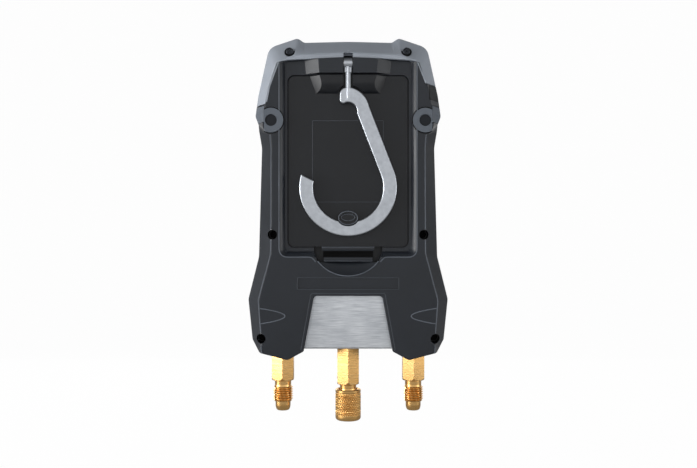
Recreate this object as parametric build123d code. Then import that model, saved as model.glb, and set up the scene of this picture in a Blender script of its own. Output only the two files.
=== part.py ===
from build123d import *
from functools import cache
from math import acos, atan2, cos, hypot, radians, sin, tan
import os

# Two-valve digital manifold gauge. Millimetres, +Z up, the rear face towards -Y.
# The origin is the middle of the folding hook's pivot.

# ---- Depths of the housing along Y ----
REAR_Y = -1.1
FLANK_REAR_Y = 9.0
PARTING_Y = 21.4
FLANK_FRONT_Y = 36.0
FRONT_Y = 41.0
FRONT_SHARE = 0.45
EDGE = 0.5
WALL = 2.4
FIT = 0.25

# ---- Outline of the housing ----
TOP_Z = 13.5
EAR_Z = 15.4
EAR_X = 27.7
SHOULDER_X = 43.4
SOCKET_X = 50.9
WAIST_X = 47.3
HIP_X = 48.95
HIP_Z = -104.5
KNEE_X = 54.75
FOOT_Z = -161.5
NOTCH_Z = -125.9
NOTCH_X = 18.9
LEG_INNER_X = 25.0

# ---- Grey frame round the top ----
FRAME_WALL = 2.5
FRAME_GAP = 0.45
LIP_Z = 3.3
ARM_END_Z = {-1: -22.0, 1: -10.9}
INSERT_BOTTOM_Z = -19.4
FRAME_SCREW = (31.6, 6.6)
FRAME_SCREW_BORE_R = 2.85

# ---- Seal between the shells ----
SEAL_WIDTH = 1.0
SEAL_DEPTH = 0.8

# ---- Battery recess and cover ----
RECESS_X = 37.2
RECESS_BOTTOM_Z = -104.6
RECESS_CORNER_R = 5.0
RECESS_Y = 2.2
BEVEL = 3.0
COVER_X = 32.1
COVER_TOP_Z = -6.75
COVER_BOTTOM_Z = -98.9
COVER_THICK = 2.2
COVER_GAP = 0.8
COVER_CORNER_R = 3.0
STUD_HALF = (5.4, 3.9)
STUD_Y = -1.7

BULGE_BASE_X = 20.8
BULGE_CROWN_X = 15.4
BULGE_HEIGHT = 9.4
BULGE_FLAT = 2.6

# ---- Battery cells ----
CELL_R = 7.1
CELL_LENGTH = 49.5
CELL_PITCH = 14.7
CELL_TOP_Z = -19.0
BAY_DEPTH = 15.4
CONTACT_THICK = 0.5
SPRING_LENGTH = 3.6

# ---- Hook and its hinge ----
HINGE_Y = -2.5
HINGE_TOP_X = 16.2
HINGE_BASE_X = 23.6
HINGE_BOTTOM_Z = -5.4
HOOK_THICK = 3.8
HOOK_EDGE_R = 0.7
BOWL_Z = -67.0
BOWL_OUTER_R = 26.3
BOWL_WIDTH = 7.4
STUD_Z = BOWL_Z - BOWL_OUTER_R + BOWL_WIDTH + 2.4
HOOK_ARM_TOP = (11.14, -23.0)
HOOK_NECK_FOOT_Z = -13.2
HOOK_LUG_X = 4.4
BEAD_HALF = 0.75
NOTCH_TOP_CLEAR = 1.8
EYE_R = 2.6
EYE_WIDTH = 4.4
NECK_WIDTH = 2.5
SLOT_SIDE_GAP = 0.3
SLOT_TOP_Z = 5.6
HINGE_PIN_R = 1.25
HINGE_PIN_LENGTH = 18.0
PIN_CLEARANCE = 0.05

# ---- Cover latch ----
LATCH_X = 13.6
LATCH_BAR_TOP_Z = -104.5
LATCH_BAR_HEIGHT = 2.6
LATCH_SPRING_THICK = 1.4
POCKET_TOP_X = 18.5
POCKET_FOOT_X = 16.3
POCKET_DEPTH = 11.0
SCOOP_R = 20.8
SCOOP_BALL_R = 36.0
SCOOP_BACK_DEPTH = 6.4

# ---- Socket covers on both sides ----
DISC_X = 41.6
DISC_Z = -30.8
DISC_R = 6.6
DISC_GROOVE = 0.7
DISC_THICK = 2.0
FACET_X = 45.3
FLAP_TOP_Z = -22.9
FLAP_BOTTOM_Z = -31.6
FLAP_WALL = 2.0
SOCKET_Y = 13.5
SOCKET_R = 3.6
SOCKET_LENGTH = 11.0
ANCHOR_PLUG_R = 3.1

# ---- Housing screws ----
MID_SCREW = (40.9, -92.5)
LEG_SCREW = (47.1, -148.7)
SCREW_BORE_R = 2.65
SCREW_BOSS_R = 4.3
SCREW_SHANK_R = 1.5
SCREW_HEAD_Y = 13.0
SCREW_LENGTH = 18.0
PILOT_CLEARANCE = 0.05

# ---- Plate recess on the lower body and thumb scoops in the legs ----
PLATE_X = 27.3
PLATE_TOP_Z = -115.7
PLATE_BOTTOM_Z = -122.0
PLATE_DEPTH = 0.5
THUMB_R = 5.2
THUMB_START_X = 34.0
THUMB_FALL = 9.0

# ---- Valve block ----
BLOCK_X = 42.2
BLOCK_TOP_Z = -121.0
BLOCK_BOTTOM_Z = -154.5
BLOCK_REAR_Y = 2.9
BLOCK_FRONT_Y = 37.0
PORT_X = 36.5
PORT_Y = 19.9
VALVE_X = 33.0
VALVE_Z = -138.0
GALLERY_Y = 9.0
PASSAGE_R = 2.2
GALLERY_R = 2.6
SEAT_R = 1.8
CHAMBER_R = 5.0
SEAT_Y = 14.0
CHAMBER_FRONT_Y = 25.0

# ---- Fittings: quarter-inch flare, 7/16-20 thread ----
THREAD_R = 5.556
THREAD_LENGTH = 8.7
THREAD_NECK_R = 4.55
NOSE_R = 4.2
NOSE_LENGTH = 5.0
FITTING_BORE_R = 2.4
HEX_AF = 12.0
HEX_LENGTH = 19.6
SERVICE_HEX_LENGTH = 21.9
NECK_LENGTH = 2.9
SHANK_R = 4.6
SHANK_LENGTH = 8.0

# ---- Port cap ----
CAP_R = 7.1
CAP_RIM_LENGTH = 3.0
CAP_TIP_R = 5.3
CAP_FLOOR = 1.9
CAP_CLEARANCE = 0.06
GASKET_THICK = 1.2

# ---- Valves ----
PISTON_LENGTH = 6.8
PISTON_CLEARANCE = 0.06
SPINDLE_R = 3.0
SPINDLE_CLEARANCE = 0.06
BONNET_R = 6.8
BONNET_AF = 15.0
BONNET_FLANGE = 3.4
BONNET_NECK_R = 5.2
BONNET_NECK_LENGTH = 5.0
WHEEL_BACK_Y = 46.6
WHEEL_FRONT_Y = 66.4
WHEEL_R = 16.5
WHEEL_LOBES = 10
WHEEL_WALL = 2.4
WHEEL_HUB_R = 6.0
WHEEL_CAP_R = 12.5
WHEEL_CAP_THICK = 1.8

# ---- Sight glass and sensors ----
GLASS_R = 8.0
GLASS_THICK = 4.0
GLASS_RING_R = 10.0
GLASS_RING_HEIGHT = 2.2
GLASS_WELL_DEPTH = 16.0
SENSOR_X = 20.0
SENSOR_R = 6.2
SENSOR_HEIGHT = 8.0

# ---- Display and keys ----
WINDOW_X = 38.0
WINDOW_TOP_Z = -1.5
WINDOW_BOTTOM_Z = -66.0
WINDOW_BORDER = 3.0
WINDOW_THICK = 1.6
DISPLAY_THICK = 7.0
BOARD_Y = 24.4
BOARD_THICK = 1.6
BOARD_X = 39.4
BOARD_TOP_Z = 1.0
BOARD_BOTTOM_Z = -106.0
PILLAR_R = 3.0
KEY_Z = -83.0
KEY_PITCH = 18.0
KEY_HALF = (6.6, 4.4)
KEY_PROUD = 1.2
KEY_TRAVEL = 0.6
KEY_FLANGE = 1.1
KEY_GAP = 0.3
KEY_BOARD_Y = 31.6
KEY_BOARD_HALF = 4.8
SWITCH_HEIGHT = 3.0

# Corners of the right half, from the top middle round to the notch between the legs:
# (x, z) on the flank, how far the rear slope draws the corner in along x and z, and its radius.
CORNERS = [
    (0.0, TOP_Z, 0.0, 7.9, 200.0),
    (EAR_X - 3.6, TOP_Z - 0.6, -0.5, 8.3, 3.0),
    (EAR_X, EAR_Z, -0.5, 11.2, 3.0),
    (SHOULDER_X, EAR_Z - 5.3, 5.1, 9.6, 7.0),
    (SHOULDER_X + 5.9, -16.5, 6.5, -3.8, 20.0),
    (SOCKET_X, -27.7, 5.6, -2.4, 4.0),
    (WAIST_X + 1.9, -32.2, 3.8, 3.3, 2.5),
    (WAIST_X + 1.5, -36.0, 6.7, 2.5, 1.5),
    (WAIST_X, -45.0, 5.8, 0.0, 12.0),
    (HIP_X, HIP_Z, 7.25, -2.0, 10.0),
    (KNEE_X, NOTCH_Z - 1.9, 6.35, 0.0, 6.0),
    (KNEE_X - 2.25, FOOT_Z + 11.6, 5.5, -1.0, 3.0),
    (KNEE_X - 6.15, FOOT_Z + 3.9, 2.0, -1.2, 2.5),
    (LEG_INNER_X + 8.2, FOOT_Z, 0.5, -1.3, 3.0),
    (LEG_INNER_X, FOOT_Z + 4.7, 1.1, -1.4, 1.5),
    (NOTCH_X, NOTCH_Z, 0.6, -0.4, 2.0),
]
SHOULDER_CORNER = CORNERS[3]
ARM_CORNER = CORNERS[4]
SOCKET_CORNER = CORNERS[5]


# ---- Helpers ----
def upright(y):
    """Upright plane at depth y, whose own x and y run along X and Z."""
    return Plane.XZ.offset(-y)


def slab(sketch, near, far):
    """Upright sketch carried from depth near to depth far."""
    return extrude(upright(far) * sketch, far - near)


def plate(x, bottom, top, near, far, radius=0.0):
    """Upright plate, even about the middle plane, with rounded corners."""
    middle = Pos(0, (top + bottom) / 2)
    if radius:
        return slab(middle * RectangleRounded(2 * x, top - bottom, radius), near, far)
    return slab(middle * Rectangle(2 * x, top - bottom), near, far)


def rod(x, z, radius, near, far):
    """Round bar along Y."""
    return slab(Pos(x, z) * Circle(radius), near, far)


def post(x, y, radius, bottom, top):
    """Round bar along Z."""
    return Pos(x, y, bottom) * extrude(Circle(radius), top - bottom)


def block(x, y, z):
    """Box between two limits on each axis."""
    size = (x[1] - x[0], y[1] - y[0], z[1] - z[0])
    centre = ((x[0] + x[1]) / 2, (y[0] + y[1]) / 2, (z[0] + z[1]) / 2)
    return Pos(*centre) * Box(*size)


def polygon(*points):
    return make_face(Polyline(*points, close=True))


def rounded(points, radii):
    """Closed face of straight edges whose corners are rounded, a radius for each corner."""
    edges, starts, ends = [], [], []
    for before, here, after, radius in zip([points[-1]] + points, points, points[1:] + points[:1], radii):
        corner = Vector(*here)
        back, ahead = (Vector(*before) - corner).normalized(), (Vector(*after) - corner).normalized()
        half = radians(back.get_angle(ahead)) / 2
        reach = radius / tan(half)
        inner = corner + (back + ahead).normalized() * (radius / sin(half) - radius)
        starts.append(corner + back * reach)
        ends.append(corner + ahead * reach)
        edges.append(ThreePointArc(starts[-1], inner, ends[-1]))
    straights = [Line(end, start) for end, start in zip(ends, starts[1:] + starts[:1])]
    return make_face(Wire([edge for pair in zip(edges, straights) for edge in pair]))


def both(point):
    """The point and its mirror image, left one first."""
    return [(-point[0], point[1]), point]


def drawn_in(points, inset):
    """Corners of a clockwise polygon with every edge moved inwards by the same amount."""
    moved = []
    for before, here, after in zip([points[-1]] + points, points, points[1:] + points[:1]):
        normals = []
        for start, end in ((before, here), (here, after)):
            run, rise = end[0] - start[0], end[1] - start[1]
            length = hypot(run, rise)
            normals.append((rise / length, -run / length))
        (ax, az), (bx, bz) = normals
        reach = inset / (1 + ax * bx + az * bz)
        moved.append((here[0] + reach * (ax + bx), here[1] + reach * (az + bz)))
    return moved


# ---- Outer form of the housing ----
def outline(share, inset):
    """Outline of the housing: share 0 is the flank and 1 the rear face."""
    half = [(x - share * dx, z - share * dz, radius) for x, z, dx, dz, radius in CORNERS]
    ring = half + [(-x, z, radius) for x, z, radius in reversed(half[1:])]
    points = drawn_in([(x, z) for x, z, _ in ring], inset)
    return rounded(points, [radius for _, _, radius in ring])


@cache
def housing_form(inset=0.0):
    """Closed form of the whole housing, drawn in evenly by inset."""
    rear_edge = EDGE / (FLANK_REAR_Y - REAR_Y)
    front_edge = FRONT_SHARE * EDGE / (FRONT_Y - FLANK_FRONT_Y)
    sections = [
        (1.0, inset + EDGE, REAR_Y + inset),
        (1.0 - rear_edge, inset, REAR_Y + inset + EDGE),
        (0.0, inset, FLANK_REAR_Y),
        (0.0, inset, FLANK_FRONT_Y),
        (FRONT_SHARE - front_edge, inset, FRONT_Y - inset - EDGE),
        (FRONT_SHARE, inset + EDGE, FRONT_Y - inset),
    ]
    return loft([upright(y) * outline(share, draw) for share, draw, y in sections], ruled=True)


def frame_zone(ends, gap=0.0):
    """Region that the grey frame covers: outside its inner edge and above its two arm ends."""
    shoulder_x = SHOULDER_CORNER[0] - SHOULDER_CORNER[2] - gap
    shoulder_z = SHOULDER_CORNER[1] - SHOULDER_CORNER[3] - gap
    arm_x = ARM_CORNER[0] - ARM_CORNER[2] - gap
    arm_z = ARM_CORNER[1] - ARM_CORNER[3]
    socket_x = SOCKET_CORNER[0] - SOCKET_CORNER[2] - gap
    slope = (socket_x - arm_x) / (arm_z - SOCKET_CORNER[1] + SOCKET_CORNER[3])
    far = KNEE_X + 5
    inner = []
    for side in (1, -1):
        end_z = ends[side] - gap
        half = [(0, LIP_Z - gap), (SHOULDER_X * 0.75, LIP_Z - 1.5 - gap), (shoulder_x, shoulder_z)]
        if end_z < arm_z:
            half.append((arm_x, arm_z))
            half.append((arm_x + slope * (arm_z - end_z), end_z))
        else:
            share = (shoulder_z - end_z) / (shoulder_z - arm_z)
            half.append((shoulder_x + share * (arm_x - shoulder_x), end_z))
        half.append((far, end_z))
        inner.append([(side * x, z) for x, z in half])
    top = EAR_Z + 5
    points = inner[0] + [(far, top), (-far, top)] + inner[1][:0:-1]
    return slab(polygon(*points), REAR_Y - 5, FRONT_Y + 5)


def flap_zone(side, gap=0.0):
    """Region that one socket flap covers."""
    x = sorted((side * (FACET_X + 0.15 - gap), side * (KNEE_X + 5)))
    return block(x, (REAR_Y - 5, PARTING_Y - 1.0 + gap), (FLAP_BOTTOM_Z - gap, FLAP_TOP_Z + gap))


def insert_zone(gap=0.0):
    """Region of the dark insert that ends the frame's shorter arm."""
    x = (FACET_X - 1.3 - gap, KNEE_X + 5)
    return block(x, (REAR_Y - 5, PARTING_Y - 1.0 + gap), (INSERT_BOTTOM_Z - gap, ARM_END_Z[1] - 0.5))


# ---- Hook ----
def arm_angle():
    """Angle of the arm's outward normal: the arm ends at its fixed top and touches the bowl."""
    rise = HOOK_ARM_TOP[1] - BOWL_Z
    return atan2(rise, HOOK_ARM_TOP[0]) - acos(BOWL_OUTER_R / hypot(HOOK_ARM_TOP[0], rise))


def hook_sketch():
    """Flat outline of the hook below its neck."""
    inner_r = BOWL_OUTER_R - BOWL_WIDTH
    across = Vector(cos(arm_angle()), sin(arm_angle()))
    along = Vector(-across.Y, across.X)
    centre = Vector(0, BOWL_Z)
    outer_start, inner_start = centre + across * BOWL_OUTER_R, centre + across * inner_r
    outer_top = Vector(*HOOK_ARM_TOP)
    inner_top = outer_top - across * BOWL_WIDTH - along * 1.6
    tip_outer = centre + Vector(-cos(radians(15.3)), sin(radians(15.3))) * BOWL_OUTER_R
    tip_inner = centre + Vector(-cos(radians(10.7)), sin(radians(10.7))) * inner_r
    neck, foot, lug = NECK_WIDTH / 2, HOOK_NECK_FOOT_Z, HOOK_LUG_X
    edge = [
        ThreePointArc((neck, foot), (7.4, foot - 3.2), outer_top),
        Line(outer_top, outer_start),
        ThreePointArc(outer_start, centre - Vector(0, BOWL_OUTER_R), tip_outer),
        Line(tip_outer, tip_inner),
        ThreePointArc(tip_inner, centre - Vector(0, inner_r), inner_start),
        Line(inner_start, inner_top),
        ThreePointArc(inner_top, (1.6, foot - 8.3), (-1.4, foot - 8.2)),
        ThreePointArc((-1.4, foot - 8.2), (-3.6, foot - 8.3), (-lug, foot - 6.4)),
        Line((-lug, foot - 6.4), (-lug, foot - 3.2)),
        ThreePointArc((-lug, foot - 3.2), (-3.4, foot - 1.1), (-neck, foot)),
        Line((-neck, foot), (neck, foot)),
    ]
    return make_face(Wire(edge))


def hook_flat():
    half = HOOK_THICK / 2
    flat = slab(hook_sketch(), -half, half)
    dip = Pos(0, STUD_Z) * Ellipse(STUD_HALF[0] + FIT, STUD_HALF[1] + FIT)
    return flat - slab(dip, -half - 1, half + 1)


def make_hook():
    """Die-cast hook: eye on the pivot, slim neck with a bead, and the flat bowl."""
    flat = hook_flat()
    rims = [e for e in flat.edges() if abs(abs(e.center().Y) - HOOK_THICK / 2) < 0.01]
    flat = fillet(rims, HOOK_EDGE_R)
    eye = Rot(0, 90, 0) * Cylinder(EYE_R, EYE_WIDTH)
    neck = NECK_WIDTH / 2
    shank = block((-neck, neck), (-0.3, HOOK_THICK / 2), (-14.0, -1.0))
    collar = block((-1.75, 1.75), (-1.2, HOOK_THICK / 2), (-5.0, -1.5))
    bead = block((-BEAD_HALF, BEAD_HALF), (-2.2, 0.0), (HOOK_NECK_FOOT_Z - 6.2, -2.0))
    bead = fillet(bead.edges().filter_by(Axis.Z).group_by(Axis.Y)[0], 0.6)
    bore = Rot(0, 90, 0) * Cylinder(HINGE_PIN_R + PIN_CLEARANCE, 2 * EYE_WIDTH)
    return flat + eye + shank + collar + bead - bore


def hook_clearance(gap):
    """Room that the folded hook's head needs in the cover's bulge."""
    neck = plate(EYE_WIDTH / 2 + SLOT_SIDE_GAP, -14.2, SLOT_TOP_Z, REAR_Y - 8, RECESS_Y)
    return neck + slab(offset(hook_sketch(), gap, kind=Kind.ARC), REAR_Y - 8, RECESS_Y)


def hinge_slot():
    """Slot through the frame's lip and the hinge block for the eye, with a notch for the bead."""
    half = EYE_WIDTH / 2 + SLOT_SIDE_GAP
    slot = block((-half, half), (REAR_Y - 8, EYE_R + 0.5), (-20, SLOT_TOP_Z))
    bead_half = BEAD_HALF + SLOT_SIDE_GAP
    return slot + block((-bead_half, bead_half), (REAR_Y - 8, 1.2), (0, SLOT_TOP_Z + NOTCH_TOP_CLEAR))


def hinge_pin_hole(radius):
    return Rot(0, 90, 0) * Cylinder(radius, HINGE_PIN_LENGTH)


# ---- Housing ----
def recess():
    """Battery recess with sloping walls, and its groove round the cover."""
    top = LIP_Z + 1.0
    middle = Pos(0, (top + RECESS_BOTTOM_Z) / 2)
    mouth = middle * RectangleRounded(2 * RECESS_X, top - RECESS_BOTTOM_Z, RECESS_CORNER_R)
    foot_size = (2 * (RECESS_X - BEVEL), top - RECESS_BOTTOM_Z - 2 * BEVEL)
    foot = middle * RectangleRounded(*foot_size, RECESS_CORNER_R - BEVEL * 0.5)
    slope = loft([upright(REAR_Y) * mouth, upright(RECESS_Y) * foot], ruled=True)
    lid = slab(mouth, REAR_Y - 3, REAR_Y)
    above = plate(RECESS_X - BEVEL, LIP_Z - 6, LIP_Z + 0.2, REAR_Y - 3, RECESS_Y)
    groove = plate(COVER_X + COVER_GAP, COVER_BOTTOM_Z - COVER_GAP, COVER_TOP_Z + COVER_GAP,
                   REAR_Y, RECESS_Y + COVER_THICK, COVER_CORNER_R + COVER_GAP)
    return slope + lid + above + groove


def battery_bay():
    floor = RECESS_Y + COVER_THICK + BAY_DEPTH
    return plate(2 * CELL_PITCH, CELL_TOP_Z - CELL_LENGTH - SPRING_LENGTH - CONTACT_THICK * 2,
                 CELL_TOP_Z + CONTACT_THICK, REAR_Y, floor, 1.0)


def bay_walls():
    """Tray that carries the cover and holds the cells."""
    floor = RECESS_Y + COVER_THICK + BAY_DEPTH
    tray = plate(2 * CELL_PITCH + 1.6, CELL_TOP_Z - CELL_LENGTH - SPRING_LENGTH - 3, CELL_TOP_Z + 2.2,
                 REAR_Y, floor + 1.4, 2.0)
    seat = plate(RECESS_X + 1.5, RECESS_BOTTOM_Z - 1.5, LIP_Z + 1.0, REAR_Y,
                 RECESS_Y + COVER_THICK + 2.0, RECESS_CORNER_R)
    pocket = plate(POCKET_TOP_X + 1.8, LATCH_BAR_TOP_Z - LATCH_BAR_HEIGHT - 2, COVER_BOTTOM_Z + 3,
                   REAR_Y, REAR_Y + POCKET_DEPTH + 1.8)
    foot_z = LATCH_BAR_TOP_Z - LATCH_BAR_HEIGHT
    scoop_back = plate(POCKET_TOP_X, foot_z - 9, foot_z + 1, REAR_Y, REAR_Y + SCOOP_BACK_DEPTH)
    return tray + seat + pocket + scoop_back


def hinge_block():
    """Raised block with sloping cheeks that carries the hook's pin."""
    top = LIP_Z
    base = polygon((-HINGE_BASE_X, top), (HINGE_BASE_X, top),
                   (HINGE_BASE_X - 0.9, HINGE_BOTTOM_Z - 1.2), (-HINGE_BASE_X + 0.9, HINGE_BOTTOM_Z - 1.2))
    crown = polygon((-HINGE_TOP_X, top), (HINGE_TOP_X, top),
                    (HINGE_TOP_X - 0.7, HINGE_BOTTOM_Z), (-HINGE_TOP_X + 0.7, HINGE_BOTTOM_Z))
    raised = loft([upright(RECESS_Y) * base, upright(HINGE_Y) * crown], ruled=True)
    raised = raised - plate(HINGE_BASE_X + 1, HINGE_BOTTOM_Z - 3, HINGE_BOTTOM_Z, HINGE_Y - 1, RECESS_Y)
    return raised - frame_zone(ARM_END_Z, FRAME_GAP)


def latch_pocket():
    """Pocket round the latch, and the finger scoop below it."""
    foot_z = LATCH_BAR_TOP_Z - LATCH_BAR_HEIGHT - 0.35
    shape = polygon((-POCKET_TOP_X, COVER_BOTTOM_Z + 1.5), (POCKET_TOP_X, COVER_BOTTOM_Z + 1.5),
                    (POCKET_TOP_X, COVER_BOTTOM_Z - 2.8), (POCKET_FOOT_X, foot_z),
                    (-POCKET_FOOT_X, foot_z), (-POCKET_TOP_X, COVER_BOTTOM_Z - 2.8))
    pocket = slab(shape, REAR_Y - 1, REAR_Y + POCKET_DEPTH)
    ball_z = foot_z + (SCOOP_R ** 2 - POCKET_FOOT_X ** 2) ** 0.5
    ball_y = REAR_Y - (SCOOP_BALL_R ** 2 - SCOOP_R ** 2) ** 0.5
    scoop = Pos(0, ball_y, ball_z) * Sphere(SCOOP_BALL_R)
    below = block((-SCOOP_R, SCOOP_R), (REAR_Y - 1, REAR_Y + 8), (foot_z - SCOOP_R, foot_z + 0.01))
    return pocket + (scoop & below)


def thumb_scoop(side):
    """Tapering trough in a leg's side, open outwards."""
    trough = Cylinder(THUMB_R, 40, align=(Align.CENTER, Align.CENTER, Align.MIN))
    start = Pos(side * THUMB_START_X, REAR_Y - THUMB_R, VALVE_Z + 1.6)
    return start * Rot(0, side * 90, side * THUMB_FALL) * trough


def screw_places():
    return both(MID_SCREW) + both(LEG_SCREW)


def rear_bosses(form):
    """Round bosses for the housing screws, and the frame screws' bosses."""
    bosses = [rod(x, z, SCREW_BOSS_R, REAR_Y, PARTING_Y) for x, z in screw_places()]
    bosses += [rod(x, z, SCREW_BOSS_R, REAR_Y + 4, PARTING_Y) for x, z in both(FRAME_SCREW)]
    return Compound(bosses) & form


def shell_form(ends):
    """Outer form of the shells: stepped in where the frame, flaps and insert lie on it."""
    form = housing_form()
    core = housing_form(FRAME_WALL + FRAME_GAP)
    flap_core = housing_form(FLAP_WALL + FIT)
    form = form - (frame_zone(ends, FRAME_GAP) - core)
    for side in (-1, 1):
        form = form - (flap_zone(side, FIT) - flap_core)
    return form - (insert_zone(FIT) - flap_core)


def shell_cavity():
    """Hollow inside both shells, deeper where the frame covers them."""
    deep = housing_form(FRAME_WALL + FRAME_GAP + WALL)
    thin = housing_form(WALL)
    below = block((-80, 80), (REAR_Y - 5, FRONT_Y + 5), (FOOT_Z - 5, FLAP_BOTTOM_Z - 6))
    return deep + (thin & below)


def block_envelope(gap):
    return block((-BLOCK_X - gap, BLOCK_X + gap), (BLOCK_REAR_Y - gap, BLOCK_FRONT_Y + gap),
                 (BLOCK_BOTTOM_Z - gap, BLOCK_TOP_Z + gap))


def fitting_holes():
    return [post(x, PORT_Y, HEX_AF * 0.5 + 1.6, FOOT_Z - 2, BLOCK_BOTTOM_Z) for x in (-PORT_X, PORT_X)]


def make_rear_shell(form, cavity):
    """Rear half: recess, battery tray, hinge block, latch pocket, scoops and screw bosses."""
    behind = block((-80, 80), (REAR_Y - 8, PARTING_Y), (FOOT_Z - 5, EAR_Z + 5))
    shell = (form & behind) - (cavity - bay_walls() - rear_bosses(form))
    shell = shell - recess() - battery_bay()
    shell = shell + hinge_block()
    shell = shell - hinge_slot() - hinge_pin_hole(HINGE_PIN_R + PIN_CLEARANCE)
    shell = shell - latch_pocket() - thumb_scoop(-1) - thumb_scoop(1)
    shell = shell - block_envelope(FIT)
    for x, z in screw_places():
        shell = shell - rod(x, z, SCREW_BORE_R, REAR_Y - 1, SCREW_HEAD_Y)
        shell = shell - rod(x, z, SCREW_SHANK_R + PILOT_CLEARANCE, SCREW_HEAD_Y, PARTING_Y)
    for x, z in both(FRAME_SCREW):
        shell = shell - rod(x, z, SCREW_SHANK_R + PILOT_CLEARANCE, REAR_Y, PARTING_Y - 6)
    for side in (-1, 1):
        shell = shell - rod(side * DISC_X, DISC_Z, DISC_R + DISC_GROOVE, REAR_Y - 1, REAR_Y + DISC_THICK)
        shell = shell - socket_hole(side)
    shell = shell - plate(PLATE_X, PLATE_BOTTOM_Z, PLATE_TOP_Z, REAR_Y - 1, REAR_Y + PLATE_DEPTH)
    for hole in fitting_holes():
        shell = shell - hole
    return shell - slab(seal_path(SEAL_WIDTH / 2), PARTING_Y - SEAL_DEPTH, PARTING_Y + 1)


def socket_hole(side):
    reach = SOCKET_X + 5 - (FACET_X - 10)
    hole = Pos(side * (FACET_X - 10), SOCKET_Y, (FLAP_TOP_Z + FLAP_BOTTOM_Z) / 2) * Rot(0, side * 90, 0)
    return hole * Cylinder(SOCKET_R + FIT, reach, align=(Align.CENTER, Align.CENTER, Align.MIN))


def front_pillars():
    """Pillars from the front wall to the boards, and the screw bosses."""
    inner = FRONT_Y - WALL
    pillars = [rod(x, z, PILLAR_R, BOARD_Y + BOARD_THICK, inner + 1) for x, z in board_corners()]
    pillars += [rod(x, z, PILLAR_R, KEY_BOARD_Y + BOARD_THICK, inner + 1) for x, z in key_board_ends()]
    pillars += [rod(x, z, SCREW_BOSS_R, PARTING_Y, FRONT_Y - 1) for x, z in screw_places()]
    return pillars


def board_corners():
    x = BOARD_X - PILLAR_R - 0.5
    low = BOARD_BOTTOM_Z + 8
    return both((x, WINDOW_TOP_Z - PILLAR_R)) + both((x, low))


def key_board_ends():
    return both((2 * KEY_PITCH + 2.5, KEY_Z))


def key_places():
    return [((place - 1.5) * KEY_PITCH, KEY_Z) for place in range(4)]


def make_front_shell(form, cavity):
    """Front half: display opening, key holes, wheel recesses, pillars and bosses."""
    ahead = block((-80, 80), (PARTING_Y, FRONT_Y + 8), (FOOT_Z - 5, EAR_Z + 5))
    pillars = Compound(front_pillars()) & form
    shell = (form & ahead) - (cavity - pillars)
    open_x = WINDOW_X - WINDOW_BORDER
    shell = shell - plate(open_x, WINDOW_BOTTOM_Z + WINDOW_BORDER, WINDOW_TOP_Z - WINDOW_BORDER,
                          FRONT_Y - WALL - 2, FRONT_Y + 1, 2.0)
    shell = shell - plate(WINDOW_X + 0.15, WINDOW_BOTTOM_Z - 0.15, WINDOW_TOP_Z + 0.15,
                          FRONT_Y - WINDOW_THICK - 0.1, FRONT_Y + 1, 4.0)
    low, high = display_limits()
    shell = shell - plate(open_x + 1.3, low - 0.3, high + 0.3, PARTING_Y, FRONT_Y - WALL)
    for x, z in key_places():
        hole = Pos(x, z) * Ellipse(KEY_HALF[0] + KEY_GAP, KEY_HALF[1] + KEY_GAP)
        shell = shell - slab(hole, FRONT_Y - WALL - 1, FRONT_Y + 1)
    for x, z in both((VALVE_X, VALVE_Z)):
        shell = shell - rod(x, z, WHEEL_R + 2.0, FRONT_Y - 1.0, FRONT_Y + 1)
        shell = shell - rod(x, z, BONNET_AF * 0.5 + 2.2, BLOCK_FRONT_Y - 1, FRONT_Y + 1)
    for x, z in screw_places():
        shell = shell - rod(x, z, SCREW_SHANK_R + PILOT_CLEARANCE, PARTING_Y - 1,
                            SCREW_HEAD_Y + SCREW_LENGTH + 1)
    shell = shell - block_envelope(FIT)
    for hole in fitting_holes():
        shell = shell - hole
    return shell


def seal_path(half_width):
    """Strip along the parting plane that follows both shells' walls, half_width each side."""
    step_z = FLAP_BOTTOM_Z - 6
    strip = []
    for inset, low, high in ((FRAME_WALL + FRAME_GAP + WALL / 2, step_z, EAR_Z + 5),
                             (WALL / 2, FOOT_Z - 5, step_z + 1)):
        ring = outline(0.0, inset - half_width) - outline(0.0, inset + half_width)
        strip.append(ring & Pos(0, (low + high) / 2) * Rectangle(160, high - low))
    for side in (-1, 1):
        strip.append(Pos(side * (WAIST_X - 2.2), step_z + 0.5) * Rectangle(5.4, 1.0))
    return strip[0] + strip[1:]


def make_shell_seal():
    """Soft strip let into the rear shell's edge at the parting plane."""
    strip = slab(seal_path(SEAL_WIDTH / 2), PARTING_Y - SEAL_DEPTH, PARTING_Y)
    strip = strip - block_envelope(FIT + 0.5)
    for hole in fitting_holes():
        strip = strip - hole
    return Compound([max(strip.solids(), key=lambda piece: piece.volume)])


def make_top_frame(ends):
    """Grey bumper that wraps the top, the ears and the upper sides."""
    frame = (housing_form() - housing_form(FRAME_WALL)) & frame_zone(ends)
    frame = frame - hinge_slot()
    for x, z in both(FRAME_SCREW):
        frame = frame - rod(x, z, FRAME_SCREW_BORE_R, REAR_Y - 5, frame_screw_seat())
        frame = frame - rod(x, z, SCREW_SHANK_R + PILOT_CLEARANCE, REAR_Y - 5, PARTING_Y)
    return frame


def frame_screw_seat():
    """Depth of the flat that the frame screws' heads sit on."""
    x, z, _, slope_z, _ = CORNERS[2]
    share = (FRAME_SCREW[1] - (z - slope_z)) / slope_z
    return REAR_Y + share * (FLANK_REAR_Y - REAR_Y) + 1.5


def make_arm_insert():
    shell = housing_form() - housing_form(FLAP_WALL)
    return shell & insert_zone()


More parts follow.
